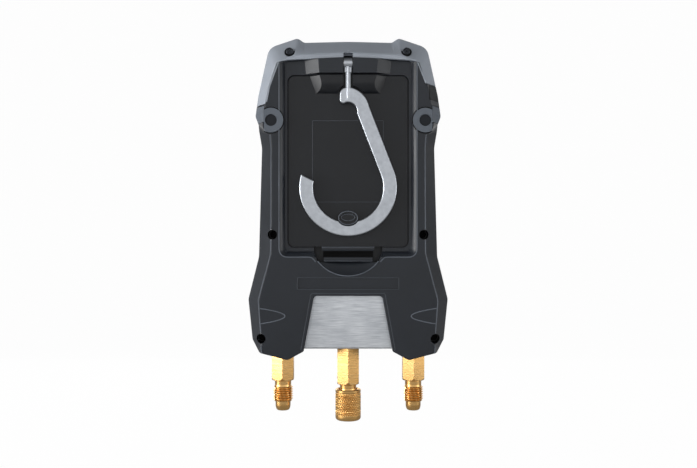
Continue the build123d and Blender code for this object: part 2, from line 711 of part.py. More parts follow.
# ---- Battery cover and latch ----
def cover_bulge():
    """Rounded swelling at the cover's top, with sloping cheeks."""
    top = COVER_TOP_Z
    foot = top - BULGE_HEIGHT
    crown_y = HINGE_Y + 0.4
    base_foot, crown_foot = BULGE_BASE_X - 3.5, BULGE_CROWN_X - 2.8
    base = polygon((-BULGE_BASE_X, top), (BULGE_BASE_X, top), (base_foot, foot), (-base_foot, foot))
    crown = polygon((-BULGE_CROWN_X, top), (BULGE_CROWN_X, top), (crown_foot, foot), (-crown_foot, foot))
    cheeks = loft([upright(RECESS_Y) * base, upright(crown_y) * crown], ruled=True)
    profile = [
        Line((RECESS_Y, top), (crown_y, top)),
        Line((crown_y, top), (crown_y, top - BULGE_FLAT)),
        ThreePointArc((crown_y, top - BULGE_FLAT), (crown_y + 1.0, top - 6.4), (RECESS_Y, foot + 0.1)),
        Line((RECESS_Y, foot + 0.1), (RECESS_Y, top)),
    ]
    side_view = Plane.YZ.offset(-BULGE_BASE_X) * make_face(Wire(profile))
    return extrude(side_view, 2 * BULGE_BASE_X) & cheeks


def make_battery_cover():
    """Cover plate with its bulge, oval hook stud, seat lugs and lower rim."""
    back = RECESS_Y + COVER_THICK
    cover = plate(COVER_X, COVER_BOTTOM_Z, COVER_TOP_Z, RECESS_Y, back, COVER_CORNER_R)
    cover = cover + (cover_bulge() - hook_clearance(1.2))
    rim = plate(LATCH_X + 0.9, COVER_BOTTOM_Z - 2.5, COVER_BOTTOM_Z + 1, RECESS_Y - 0.2, back)
    stud = slab(Pos(0, STUD_Z) * Ellipse(*STUD_HALF), STUD_Y, RECESS_Y + 0.5)
    stud = stud - slab(Pos(0, STUD_Z) * Ellipse(STUD_HALF[0] - 1.1, STUD_HALF[1] - 1.2),
                       STUD_Y - 1, STUD_Y + 0.8)
    neck_room = block((-EYE_WIDTH / 2 - SLOT_SIDE_GAP, EYE_WIDTH / 2 + SLOT_SIDE_GAP),
                      (REAR_Y - 5, RECESS_Y), (-14, 0))
    return cover + rim + stud - neck_room


def make_cover_latch():
    """Spring latch: a U of flat spring with the finger bar at its outer end."""
    bar_bottom = LATCH_BAR_TOP_Z - LATCH_BAR_HEIGHT
    thick = LATCH_SPRING_THICK
    bar_y = REAR_Y + 1.2
    deep = REAR_Y + POCKET_DEPTH - 1.2
    root = RECESS_Y + COVER_THICK + 0.3
    top = COVER_BOTTOM_Z - 0.6
    profile = polygon((bar_y, LATCH_BAR_TOP_Z), (bar_y, bar_bottom), (bar_y + 2.4, bar_bottom),
                      (bar_y + 3.0, bar_bottom + 0.6), (deep, bar_bottom + 0.6), (deep, top),
                      (root, top), (root, top - thick), (deep - thick, top - thick),
                      (deep - thick, bar_bottom + 0.6 + thick), (bar_y + 2.4, bar_bottom + 0.6 + thick),
                      (bar_y + 1.4, LATCH_BAR_TOP_Z))
    latch = extrude(Plane.YZ.offset(-LATCH_X) * profile, 2 * LATCH_X)
    bend = [e for e in latch.edges().filter_by(Axis.X) if e.center().Y > deep - 0.1]
    return fillet(bend, thick * 0.9)


# ---- Socket covers ----
def make_socket_anchor(side):
    """Rubber disc let into the rear face, cut off at the flap's fold."""
    disc = rod(side * DISC_X, DISC_Z, DISC_R, REAR_Y - 0.35, REAR_Y + DISC_THICK)
    fold = sorted((side * FACET_X, side * (FACET_X + 10)))
    disc = disc - block(fold, (REAR_Y - 5, REAR_Y + 5), (DISC_Z - 10, DISC_Z + 10))
    return disc - rod(side * DISC_X, DISC_Z, ANCHOR_PLUG_R + 0.1, REAR_Y - 1, REAR_Y + DISC_THICK - 0.6)


def make_anchor_plugs():
    return Compound([rod(side * DISC_X, DISC_Z, ANCHOR_PLUG_R, REAR_Y + 0.2, REAR_Y + DISC_THICK - 0.6)
                     for side in (-1, 1)])


def make_socket_flap(side):
    """Rubber flap over a probe socket, following the housing's flank."""
    return (housing_form() - housing_form(FLAP_WALL)) & flap_zone(side)


def make_probe_socket(side):
    """Round socket with three contact holes, let into the flank under its flap."""
    z = (FLAP_TOP_Z + FLAP_BOTTOM_Z) / 2
    barrel = Cylinder(SOCKET_R, SOCKET_LENGTH, align=(Align.CENTER, Align.CENTER, Align.MAX))
    bore = Cylinder(SOCKET_R - 0.8, 6, align=(Align.CENTER, Align.CENTER, Align.MAX))
    collar = Pos(0, 0, -SOCKET_LENGTH) * Cylinder(SOCKET_R + 1.2, 2,
                                                  align=(Align.CENTER, Align.CENTER, Align.MIN))
    socket = barrel - bore + collar
    for turn in (90, 210, 330):
        pin = Pos(1.5 * cos(radians(turn)), 1.5 * sin(radians(turn)), -5.0)
        socket = socket + pin * Cylinder(0.4, 4, align=(Align.CENTER, Align.CENTER, Align.CENTER))
    return Pos(side * (SOCKET_X - FLAP_WALL - 1.7), SOCKET_Y, z) * Rot(0, side * 90, 0) * socket


# ---- Screws ----
def screw(x, z, seat_y, length, head_r=2.1, head=1.7):
    """Pan-head screw along Y with a cross recess, its head's underside at seat_y."""
    top = seat_y - head
    body = rod(x, z, head_r, top, seat_y)
    body = fillet(body.edges().group_by(Axis.Y)[0], 0.7)
    for turn in (0, 90):
        body = body - Pos(x, top, z) * Rot(0, turn, 0) * Box(0.55, 1.6, 2.3)
    return body + rod(x, z, SCREW_SHANK_R, seat_y, seat_y + length)


def make_frame_screws():
    seat = frame_screw_seat()
    return Compound([screw(x, z, seat, 9.0) for x, z in both(FRAME_SCREW)])


def make_housing_screws():
    return Compound([screw(x, z, SCREW_HEAD_Y, SCREW_LENGTH) for x, z in screw_places()])


# ---- Valve block and fittings ----
def make_valve_block():
    """Aluminium block with its ports, gallery, valve chambers and sight-glass well."""
    body = block_envelope(0.0)
    body = chamfer(body.edges().filter_by(Axis.X), 0.8)
    for x in (-PORT_X, 0, PORT_X):
        body = body - post(x, PORT_Y, SHANK_R + 0.05, BLOCK_BOTTOM_Z - 1, BLOCK_BOTTOM_Z + SHANK_LENGTH + 1)
        body = body - post(x, PORT_Y, PASSAGE_R, BLOCK_BOTTOM_Z, VALVE_Z)
    for x in (-VALVE_X, VALVE_X):
        body = body - rod(x, VALVE_Z, SEAT_R, GALLERY_Y, SEAT_Y + 0.5)
        body = body - rod(x, VALVE_Z, CHAMBER_R, SEAT_Y, CHAMBER_FRONT_Y + 1)
        body = body - rod(x, VALVE_Z, BONNET_R + 0.05, CHAMBER_FRONT_Y, BLOCK_FRONT_Y + 1)
    gallery = Pos(0, GALLERY_Y, VALVE_Z) * Rot(0, 90, 0) * Cylinder(GALLERY_R, 2 * VALVE_X + 6)
    body = body - gallery - rod(0, VALVE_Z, SEAT_R, GALLERY_Y, PORT_Y)
    body = body - rod(0, VALVE_Z, GLASS_R - 1.2, BLOCK_FRONT_Y - GLASS_WELL_DEPTH, BLOCK_FRONT_Y + 1)
    body = body - rod(0, VALVE_Z, GLASS_R + 0.05, BLOCK_FRONT_Y - GLASS_THICK, BLOCK_FRONT_Y + 1)
    for x in (-SENSOR_X, SENSOR_X):
        body = body - post(x, PORT_Y, 2.0, VALVE_Z + 4, BLOCK_TOP_Z + 1)
    return body


def hexagon(af, length, bevel):
    """Hexagonal bar from z 0 downwards with both ends turned off to a cone."""
    bar = extrude(Rot(0, 0, 12) * RegularPolygon(af / 2, 6, major_radius=False), -length)
    radius = af / 2 / cos(radians(30)) + 0.05
    turned = polygon((0, 0), (radius - bevel, 0), (radius, -bevel * 0.6), (radius, -length + bevel * 0.6),
                     (radius - bevel, -length), (0, -length))
    return bar & revolve(Plane.XZ * turned, Axis.Z)


def make_fitting(x, hex_length):
    """Flare fitting: hexagon, neck, threaded part and 45 degree nose, bored through."""
    thread_top = -hex_length - NECK_LENGTH
    nose_top = thread_top - THREAD_LENGTH
    nose_end = nose_top - NOSE_LENGTH
    profile = polygon((0, SHANK_LENGTH), (SHANK_R, SHANK_LENGTH), (SHANK_R, 0),
                      (THREAD_NECK_R, 0), (THREAD_NECK_R, thread_top), (THREAD_R - 0.7, thread_top),
                      (THREAD_R, thread_top - 0.7), (THREAD_R, nose_top + 0.7), (THREAD_R - 0.7, nose_top),
                      (NOSE_R, nose_top), (NOSE_R, nose_end + 1.6), (NOSE_R - 1.3, nose_end), (0, nose_end))
    turned = revolve(Plane.XZ * profile, Axis.Z) + hexagon(HEX_AF, hex_length, 1.0)
    bored = turned - post(0, 0, FITTING_BORE_R, nose_end - 1, SHANK_LENGTH + 1)
    return Pos(x, PORT_Y, BLOCK_BOTTOM_Z) * bored


def service_nose_end():
    return BLOCK_BOTTOM_Z - SERVICE_HEX_LENGTH - NECK_LENGTH - THREAD_LENGTH - NOSE_LENGTH


def make_port_cap():
    """Knurled cap with a plain turned rim and a rounded end."""
    floor = service_nose_end() - 0.25 - GASKET_THICK
    end = floor - CAP_FLOOR
    rim_top = service_nose_end() + NOSE_LENGTH + THREAD_LENGTH + 0.4
    bore = THREAD_R + CAP_CLEARANCE
    profile = polygon((bore, rim_top), (CAP_R - 1.0, rim_top), (CAP_R - 0.2, rim_top - 0.9),
                      (CAP_R - 0.2, rim_top - CAP_RIM_LENGTH), (CAP_R - 0.7, rim_top - CAP_RIM_LENGTH - 0.3),
                      (CAP_R, rim_top - CAP_RIM_LENGTH - 0.9), (CAP_R, end + 2.6),
                      (CAP_R - 0.8, end + 1.4), (CAP_TIP_R, end), (0, end), (0, floor), (bore, floor))
    return Pos(0, PORT_Y, 0) * revolve(Plane.XZ * profile, Axis.Z)


def make_cap_gasket():
    top = service_nose_end() - 0.1
    return post(0, PORT_Y, NOSE_R + 0.9, top - GASKET_THICK, top)


# ---- Valves ----
def make_bonnet(x):
    """Brass bonnet screwed into the block, with a hexagon flange and a guide neck."""
    flange_top = BLOCK_FRONT_Y + BONNET_FLANGE
    body = rod(x, VALVE_Z, BONNET_R, CHAMBER_FRONT_Y + 0.05, BLOCK_FRONT_Y)
    flange = slab(Pos(x, VALVE_Z) * RegularPolygon(BONNET_AF / 2, 6, major_radius=False),
                  BLOCK_FRONT_Y, flange_top)
    neck = rod(x, VALVE_Z, BONNET_NECK_R, flange_top, flange_top + BONNET_NECK_LENGTH)
    bore = rod(x, VALVE_Z, SPINDLE_R + SPINDLE_CLEARANCE, CHAMBER_FRONT_Y - 1, WHEEL_BACK_Y)
    return body + flange + neck - bore


def make_piston(x):
    """Piston with a seal groove and a coned seat, closed against the block's seat."""
    radius = CHAMBER_R - PISTON_CLEARANCE
    back = SEAT_Y + 0.05
    body = rod(x, VALVE_Z, radius, back, back + PISTON_LENGTH)
    groove = rod(x, VALVE_Z, radius + 1, back + 2.8, back + 4.4) - rod(x, VALVE_Z, radius - 1.2, 0, 60)
    return body - groove


def make_piston_seal(x):
    radius = CHAMBER_R - PISTON_CLEARANCE - 0.62
    ring = Torus(radius, 0.58)
    return Pos(x, SEAT_Y + 0.05 + 3.6, VALVE_Z) * Rot(90, 0, 0) * ring


def make_spindle(x):
    """Spindle through the bonnet, with a square for the wheel."""
    start = SEAT_Y + 0.1 + PISTON_LENGTH
    turned = rod(x, VALVE_Z, SPINDLE_R, start, WHEEL_BACK_Y + 0.4)
    square = slab(Pos(x, VALVE_Z) * Rectangle(4.0, 4.0), WHEEL_BACK_Y + 0.4, WHEEL_FRONT_Y - 6.0)
    return turned + square


def make_handwheel(x):
    """Lobed handwheel: hollow skirt, hub with a square bore and a web."""
    skirt = rod(x, VALVE_Z, WHEEL_R, WHEEL_BACK_Y, WHEEL_FRONT_Y)
    skirt = fillet(skirt.edges().group_by(Axis.Y)[-1], 2.2)
    hollow = rod(x, VALVE_Z, WHEEL_R - 2 * WHEEL_WALL, WHEEL_BACK_Y - 1, WHEEL_FRONT_Y - 7.0)
    hub = rod(x, VALVE_Z, WHEEL_HUB_R, WHEEL_BACK_Y, WHEEL_FRONT_Y - 6.9)
    wheel = skirt - (hollow - hub)
    wheel = wheel - rod(x, VALVE_Z, WHEEL_CAP_R + 0.05, WHEEL_FRONT_Y - WHEEL_CAP_THICK, WHEEL_FRONT_Y + 1)
    wheel = wheel - rod(x, VALVE_Z, 4.2, WHEEL_FRONT_Y - 4.5, WHEEL_FRONT_Y)
    wheel = wheel - slab(Pos(x, VALVE_Z) * Rectangle(4.0, 4.0), WHEEL_BACK_Y - 1, WHEEL_FRONT_Y - 6.0)
    wheel = wheel - rod(x, VALVE_Z, SPINDLE_R, WHEEL_BACK_Y - 1, WHEEL_BACK_Y + 0.4)
    wheel = wheel - rod(x, VALVE_Z, 1.25, WHEEL_FRONT_Y - 9, WHEEL_FRONT_Y)
    for lobe in range(WHEEL_LOBES):
        turn = radians(360 / WHEEL_LOBES * (lobe + 0.5))
        reach = WHEEL_R + 2.6
        place = (x + reach * cos(turn), VALVE_Z + reach * sin(turn))
        wheel = wheel - rod(*place, 4.2, WHEEL_BACK_Y + 2.5, WHEEL_FRONT_Y + 1)
    return wheel


def make_wheel_cap(x):
    return rod(x, VALVE_Z, WHEEL_CAP_R, WHEEL_FRONT_Y - WHEEL_CAP_THICK, WHEEL_FRONT_Y - 0.3)


def make_wheel_screw(x):
    """Screw under the cap that holds the wheel on the spindle."""
    head = rod(x, VALVE_Z, 3.4, WHEEL_FRONT_Y - 4.5, WHEEL_FRONT_Y - 2.4)
    return head + rod(x, VALVE_Z, 1.2, WHEEL_FRONT_Y - 5.95, WHEEL_FRONT_Y - 4.5)


# ---- Sight glass and sensors ----
def make_sight_glass():
    return rod(0, VALVE_Z, GLASS_R, BLOCK_FRONT_Y - GLASS_THICK + 0.8, BLOCK_FRONT_Y)


def make_glass_seal():
    top = BLOCK_FRONT_Y - GLASS_THICK + 0.8
    return rod(0, VALVE_Z, GLASS_R, top - 0.8, top) - rod(0, VALVE_Z, GLASS_R - 1.2, 0, 60)


def make_glass_ring():
    front = BLOCK_FRONT_Y + GLASS_RING_HEIGHT
    ring = rod(0, VALVE_Z, GLASS_RING_R, BLOCK_FRONT_Y, front)
    ring = chamfer(ring.edges().group_by(Axis.Y)[-1], 0.7)
    ring = ring - rod(0, VALVE_Z, GLASS_R - 1.6, 0, 60)
    for turn in (0, 180):
        angle = radians(turn)
        place = (GLASS_RING_R * cos(angle), VALVE_Z + GLASS_RING_R * sin(angle))
        ring = ring - rod(*place, 1.1, front - 1.0, front + 1)
    return ring


def make_sensor(x):
    """Pressure sensor screwed into the block's top, with its connector."""
    body = post(x, PORT_Y, SENSOR_R, BLOCK_TOP_Z, BLOCK_TOP_Z + SENSOR_HEIGHT)
    stem = post(x, PORT_Y, 1.95, BLOCK_TOP_Z - 6, BLOCK_TOP_Z)
    return body + stem + post(x, PORT_Y, 2.6, BLOCK_TOP_Z, BLOCK_TOP_Z + SENSOR_HEIGHT + 2.5)


# ---- Display, board and keys ----
def make_display_window():
    return plate(WINDOW_X, WINDOW_BOTTOM_Z, WINDOW_TOP_Z, FRONT_Y - WINDOW_THICK - 0.1, FRONT_Y - 0.1, 3.85)


def display_limits():
    """Bottom and top of the display module."""
    return WINDOW_BOTTOM_Z + WINDOW_BORDER - 1, WINDOW_TOP_Z - WINDOW_BORDER + 1


def make_display_module():
    """Liquid-crystal module in its metal frame, on four feet from the board."""
    front = FRONT_Y - WALL - 0.2
    open_x = WINDOW_X - WINDOW_BORDER + 1
    low, high = display_limits()
    module = plate(open_x, low, high, front - DISPLAY_THICK, front)
    feet = [rod(x, z, 1.2, BOARD_Y + BOARD_THICK, front - DISPLAY_THICK)
            for z in (low + 4, high - 4) for x in (-open_x + 6, open_x - 6)]
    return module + feet


def make_main_board():
    board = plate(BOARD_X, BOARD_BOTTOM_Z, BOARD_TOP_Z, BOARD_Y, BOARD_Y + BOARD_THICK, 4.0)
    for x, z in both(MID_SCREW):
        board = board - rod(x, z, SCREW_BOSS_R + 0.5, BOARD_Y - 1, BOARD_Y + BOARD_THICK + 1)
    return board


def make_key_board():
    x = key_board_ends()[1][0] + PILLAR_R
    return plate(x, KEY_Z - KEY_BOARD_HALF, KEY_Z + KEY_BOARD_HALF, KEY_BOARD_Y, KEY_BOARD_Y + BOARD_THICK, 1.5)


def make_key_switches():
    base = KEY_BOARD_Y + BOARD_THICK
    switches = []
    for x, z in key_places():
        body = slab(Pos(x, z) * Rectangle(6, 6), base, base + SWITCH_HEIGHT - 1.0)
        switches.append(body + rod(x, z, 1.7, base + SWITCH_HEIGHT - 1.0, base + SWITCH_HEIGHT))
    return Compound(switches)


def make_key(place):
    """Oval key cap with a flange behind the front wall."""
    x, z = key_places()[place]
    flange_y = FRONT_Y - WALL - 0.15
    cap = slab(Pos(x, z) * Ellipse(*KEY_HALF), flange_y - 0.1, FRONT_Y + KEY_PROUD)
    cap = fillet(cap.edges().group_by(Axis.Y)[-1], 0.6)
    flange = slab(Pos(x, z) * Ellipse(KEY_HALF[0] + 1.2, KEY_HALF[1] + 1.2), flange_y - KEY_FLANGE, flange_y)
    switch_top = KEY_BOARD_Y + BOARD_THICK + SWITCH_HEIGHT
    stem = rod(x, z, 1.8, switch_top + KEY_TRAVEL + 0.1, flange_y - KEY_FLANGE)
    return cap + flange + stem


# ---- Battery cells and contacts ----
def cell_places():
    y = RECESS_Y + COVER_THICK + CELL_R + 0.4
    return [((place - 1.5) * CELL_PITCH, y) for place in range(4)]


def make_cell(place):
    """Round cell with its raised positive button, turned end for end from cell to cell."""
    x, y = cell_places()[place]
    bottom = CELL_TOP_Z - CELL_LENGTH
    can = post(x, y, CELL_R, bottom + 0.2, CELL_TOP_Z - 1.0)
    if place % 2:
        can = post(x, y, CELL_R, bottom + 1.2, CELL_TOP_Z)
        return can + post(x, y, 2.7, bottom + 0.2, bottom + 1.2)
    return can + post(x, y, 2.7, CELL_TOP_Z - 1.0, CELL_TOP_Z)


def make_contact_plates():
    """Two wide plates joining the cells at the top of the bay."""
    y = cell_places()[0][1]
    plates = []
    for middle in (-CELL_PITCH, CELL_PITCH):
        x = (middle - CELL_PITCH * 0.85, middle + CELL_PITCH * 0.85)
        plates.append(block(x, (y - 4, y + 4), (CELL_TOP_Z, CELL_TOP_Z + CONTACT_THICK)))
    return Compound(plates)


def make_contact_springs():
    """Conical contact springs at the bottom of the bay, as hollow cones."""
    bottom = CELL_TOP_Z - CELL_LENGTH
    springs = []
    for x, y in cell_places():
        tall = SPRING_LENGTH + CONTACT_THICK * 2
        outer = Cone(4.6, 2.6, tall, align=(Align.CENTER, Align.CENTER, Align.MIN))
        inner = Cone(4.0, 2.0, tall, align=(Align.CENTER, Align.CENTER, Align.MIN))
        springs.append(Pos(x, y, bottom - tall) * (outer - inner))
    return Compound(springs)


def build_parts():
    """Every node of the assembly by name."""
    form = shell_form(ARM_END_Z)
    cavity = shell_cavity()
    parts = {
        "rear_shell": make_rear_shell(form, cavity),
        "front_shell": make_front_shell(form, cavity),
        "shell_seal": make_shell_seal(),
        "top_frame": make_top_frame(ARM_END_Z),
        "arm_insert": make_arm_insert(),
        "frame_screws": make_frame_screws(),
        "housing_screws": make_housing_screws(),
        "battery_cover": make_battery_cover(),
        "cover_latch": make_cover_latch(),
        "hook": make_hook(),
        "hook_pin": hinge_pin_hole(HINGE_PIN_R),
        "anchor_plugs": make_anchor_plugs(),
        "valve_block": make_valve_block(),
        "fitting_service": make_fitting(0, SERVICE_HEX_LENGTH),
        "port_cap": make_port_cap(),
        "cap_gasket": make_cap_gasket(),
        "sight_glass": make_sight_glass(),
        "glass_seal": make_glass_seal(),
        "glass_ring": make_glass_ring(),
        "display_window": make_display_window(),
        "display_module": make_display_module(),
        "main_board": make_main_board(),
        "key_board": make_key_board(),
        "key_switches": make_key_switches(),
        "contact_plates": make_contact_plates(),
        "contact_springs": make_contact_springs(),
    }
    for side, name in ((1, "low"), (-1, "high")):
        parts[f"socket_anchor_{name}"] = make_socket_anchor(side)
        parts[f"socket_flap_{name}"] = make_socket_flap(side)
        parts[f"probe_socket_{name}"] = make_probe_socket(side)
        parts[f"fitting_{name}"] = make_fitting(side * PORT_X, HEX_LENGTH)
        parts[f"bonnet_{name}"] = make_bonnet(side * VALVE_X)
        parts[f"piston_{name}"] = make_piston(side * VALVE_X)
        parts[f"piston_seal_{name}"] = make_piston_seal(side * VALVE_X)
        parts[f"spindle_{name}"] = make_spindle(side * VALVE_X)
        parts[f"handwheel_{name}"] = make_handwheel(side * VALVE_X)
        parts[f"wheel_cap_{name}"] = make_wheel_cap(side * VALVE_X)
        parts[f"wheel_screw_{name}"] = make_wheel_screw(side * VALVE_X)
        parts[f"sensor_{name}"] = make_sensor(side * SENSOR_X)
    for place in range(4):
        parts[f"key_{place + 1}"] = make_key(place)
        parts[f"battery_cell_{place + 1}"] = make_cell(place)
    return parts


os.makedirs("parts", exist_ok=True)
for name, solid in build_parts().items():
    export_step(solid, f"parts/{name}.step")
    print(name, round(solid.volume, 1))
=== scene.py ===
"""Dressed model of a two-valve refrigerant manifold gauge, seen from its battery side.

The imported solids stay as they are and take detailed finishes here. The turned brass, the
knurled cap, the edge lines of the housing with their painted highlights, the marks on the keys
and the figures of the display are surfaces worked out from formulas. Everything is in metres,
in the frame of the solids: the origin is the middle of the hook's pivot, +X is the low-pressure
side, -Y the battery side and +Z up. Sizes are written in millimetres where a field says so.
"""

import logging
import math
from dataclasses import dataclass
from enum import Enum

import bmesh
import bpy
import numpy as np
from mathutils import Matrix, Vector


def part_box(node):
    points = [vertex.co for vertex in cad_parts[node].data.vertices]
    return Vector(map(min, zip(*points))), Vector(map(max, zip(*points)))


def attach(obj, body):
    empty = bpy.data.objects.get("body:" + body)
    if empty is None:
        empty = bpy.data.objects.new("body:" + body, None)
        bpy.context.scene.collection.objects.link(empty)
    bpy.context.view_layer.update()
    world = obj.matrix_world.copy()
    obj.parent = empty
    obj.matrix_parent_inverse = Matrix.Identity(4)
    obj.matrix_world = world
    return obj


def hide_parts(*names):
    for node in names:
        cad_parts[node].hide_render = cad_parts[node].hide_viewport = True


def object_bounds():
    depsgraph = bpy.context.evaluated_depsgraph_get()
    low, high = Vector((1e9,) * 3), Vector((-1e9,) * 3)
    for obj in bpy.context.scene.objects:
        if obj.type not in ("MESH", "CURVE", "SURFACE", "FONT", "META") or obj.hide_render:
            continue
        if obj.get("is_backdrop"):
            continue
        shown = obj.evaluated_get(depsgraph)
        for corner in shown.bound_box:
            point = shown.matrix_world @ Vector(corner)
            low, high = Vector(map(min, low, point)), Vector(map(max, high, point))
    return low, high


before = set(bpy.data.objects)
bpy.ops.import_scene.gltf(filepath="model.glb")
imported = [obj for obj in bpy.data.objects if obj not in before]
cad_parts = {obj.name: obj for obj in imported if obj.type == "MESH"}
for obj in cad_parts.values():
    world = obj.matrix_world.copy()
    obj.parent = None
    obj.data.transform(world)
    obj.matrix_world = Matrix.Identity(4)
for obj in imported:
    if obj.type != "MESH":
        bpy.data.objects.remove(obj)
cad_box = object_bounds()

MM = 0.001
LOG = logging.getLogger("manifold")
FULL_TURN = 2 * math.pi
EVEN = (1.0, 1.0, 1.0)
# Edges above this angle stay sharp, and points nearer than this, in metres, are joined.
SHARP_EDGE = math.radians(32.0)
WELD = 1e-7
# How far thin pieces reach into a face and prints stand out of it, in millimetres.
SUNK = 0.02
PRINT_THICK = 0.12

Pair = tuple[float, float]
Triple = tuple[float, float, float]
Socket = bpy.types.NodeSocket
Solid = bpy.types.Object


# ---- colours and node trees
def shade(red: float, green: float, blue: float) -> tuple[float, float, float, float]:
    """Turns a display colour of 0 to 255 into the linear colour that the nodes use.

    Args:
        red: Display value of red.
        green: Display value of green.
        blue: Display value of blue.

    Returns:
        Linear red, green, blue and an alpha of one.
    """
    display = np.array([red, green, blue]) / 255
    low = display / 12.92
    high = ((display + 0.055) / 1.055) ** 2.4
    linear = np.where(display <= 0.04045, low, high)
    return (*(float(v) for v in linear), 1.0)


class Recipe:
    """Node tree of one material, put together step by step round a Principled shader."""

    def __init__(self, name: str) -> None:
        """Starts a material of that name with a shader and an output."""
        self.material = bpy.data.materials.new(name)
        self.material.use_nodes = True
        self.tree = self.material.node_tree
        self.tree.nodes.clear()
        self.shader = self.node("ShaderNodeBsdfPrincipled")
        output = self.node("ShaderNodeOutputMaterial")
        self.join(self.shader.outputs["BSDF"], output.inputs["Surface"])

    def node(self, kind: str, **values: object) -> bpy.types.Node:
        """Adds a node.

        Args:
            kind: Blender's name of the node type.
            **values: Properties or input values, by name.

        Returns:
            The new node.
        """
        made = self.tree.nodes.new(kind)
        for name, value in values.items():
            if name in made.inputs:
                made.inputs[name].default_value = value
            else:
                setattr(made, name, value)
        return made

    def join(self, start: Socket, end: Socket) -> None:
        """Links two sockets."""
        self.tree.links.new(start, end)

    def feed(self, **values: object) -> None:
        """Links sockets to the shader's inputs or sets them, with underscores for spaces."""
        for name, value in values.items():
            target = self.shader.inputs[name.replace("_", " ")]
            if isinstance(value, Socket):
                self.join(value, target)
            else:
                target.default_value = value

    def place(self, stretch: Triple = EVEN) -> Socket:
        """Object coordinates, multiplied along each axis.

        Args:
            stretch: Factor for x, y and z.

        Returns:
            The vector socket.
        """
        coords = self.node("ShaderNodeTexCoord")
        mapping = self.node("ShaderNodeMapping", Scale=stretch)
        self.join(coords.outputs["Object"], mapping.inputs["Vector"])
        return mapping.outputs["Vector"]

    def noise(self, place: Socket, scale: float, detail: float = 2.0,
              rough: float = 0.5) -> Socket:
        """Soft random value from 0 to 1.

        Args:
            place: Vector that the noise is read at.
            scale: Waves in each metre of that vector.
            detail: Number of finer layers.
            rough: Share of each finer layer.

        Returns:
            The value socket.
        """
        made = self.node("ShaderNodeTexNoise", Scale=scale, Detail=detail, Roughness=rough)
        self.join(place, made.inputs["Vector"])
        return made.outputs["Fac"]

    def between(self, value: Socket, low: float, high: float,
                at_low: float = 0.0, at_high: float = 1.0) -> Socket:
        """Maps a value from one range to another and holds it inside.

        Args:
            value: The value socket.
            low: Value that gives at_low.
            high: Value that gives at_high.
            at_low: Result at the low end.
            at_high: Result at the high end.

        Returns:
            The mapped value.
        """
        made = self.node("ShaderNodeMapRange")
        self.join(value, made.inputs["Value"])
        for name, number in (("From Min", low), ("From Max", high),
                             ("To Min", at_low), ("To Max", at_high)):
            made.inputs[name].default_value = number
        return made.outputs["Result"]

    def mix(self, share: Socket, first: Triple, second: Triple) -> Socket:
        """Colour between two display colours, by a share from 0 to 1."""
        made = self.node("ShaderNodeMix", data_type="RGBA")
        self.join(share, made.inputs["Factor"])
        made.inputs[6].default_value = shade(*first)
        made.inputs[7].default_value = shade(*second)
        return made.outputs[2]

    def add(self, first: Socket, second: Socket,
            share: float) -> Socket:
        """First value plus a share of the second."""
        made = self.node("ShaderNodeMath", operation="MULTIPLY_ADD")
        self.join(second, made.inputs[0])
        made.inputs[1].default_value = share
        self.join(first, made.inputs[2])
        return made.outputs[0]

    def relief(self, height: Socket, depth: float) -> None:
        """Bumps the surface by a height map.

        Args:
            height: Height from 0 to 1.
            depth: Height of 1, in metres.
        """
        bump = self.node("ShaderNodeBump", Strength=1.0, Distance=depth)
        self.join(height, bump.inputs["Height"])
        self.feed(Normal=bump.outputs["Normal"])


# ---- finishes
@dataclass(frozen=True)
class Moulded:
    """Moulded plastic or rubber: spark-eroded grain, faint flow marks and worn high spots.

    Attributes:
        colour: Display colour of the resin.
        worn: Display colour of the paler patches.
        roughness: Middle roughness.
        grain: Grain cells in each metre.
        depth: Height of the grain in metres.
        specular: Reflection level of the shader.
    """

    colour: Triple
    worn: Triple
    roughness: float = 0.5
    grain: float = 2600.0
    depth: float = 0.00003
    specular: float = 0.4

    def make(self, name: str) -> bpy.types.Material:
        """Builds the material under a name."""
        recipe = Recipe(name)
        place = recipe.place()
        flow = recipe.noise(place, 28.0, 3.0, 0.55)
        fine = recipe.noise(place, self.grain, 2.0, 0.6)
        patches = recipe.between(recipe.add(flow, fine, 0.25), 0.42, 0.86)
        recipe.feed(
            Base_Color=recipe.mix(patches, self.colour, self.worn),
            Roughness=recipe.between(flow, 0.3, 0.7, self.roughness - 0.06, self.roughness + 0.06))
        recipe.feed(Specular_IOR_Level=self.specular)
        recipe.relief(fine, self.depth)
        return recipe.material


@dataclass(frozen=True)
class Brushed:
    """Metal with a straight grain: long thin streaks that change tone, gloss and height.

    Attributes:
        dark: Display colour of the dark streaks.
        light: Display colour of the light streaks.
        stretch: Streak frequency along x, y and z, in each metre.
        roughness: Middle roughness.
        depth: Height of the streaks in metres.
        metallic: Share of metal in the shader.
        anisotropy: How far highlights stretch across the grain.
    """

    dark: Triple
    light: Triple
    stretch: Triple
    roughness: float = 0.35
    depth: float = 0.00002
    metallic: float = 1.0
    anisotropy: float = 0.0

    def make(self, name: str) -> bpy.types.Material:
        """Builds the material under a name."""
        recipe = Recipe(name)
        streaks = recipe.noise(recipe.place(self.stretch), 1.0, 4.0, 0.65)
        clouds = recipe.noise(recipe.place(), 90.0, 2.0, 0.5)
        tone = recipe.between(recipe.add(streaks, clouds, 0.2), 0.42, 0.78)
        recipe.feed(
            Base_Color=recipe.mix(tone, self.dark, self.light),
            Roughness=recipe.between(streaks, 0.3, 0.7, self.roughness + 0.08,
                                     self.roughness - 0.05))
        recipe.feed(Metallic=self.metallic, Anisotropic=self.anisotropy)
        recipe.relief(streaks, self.depth)
        return recipe.material


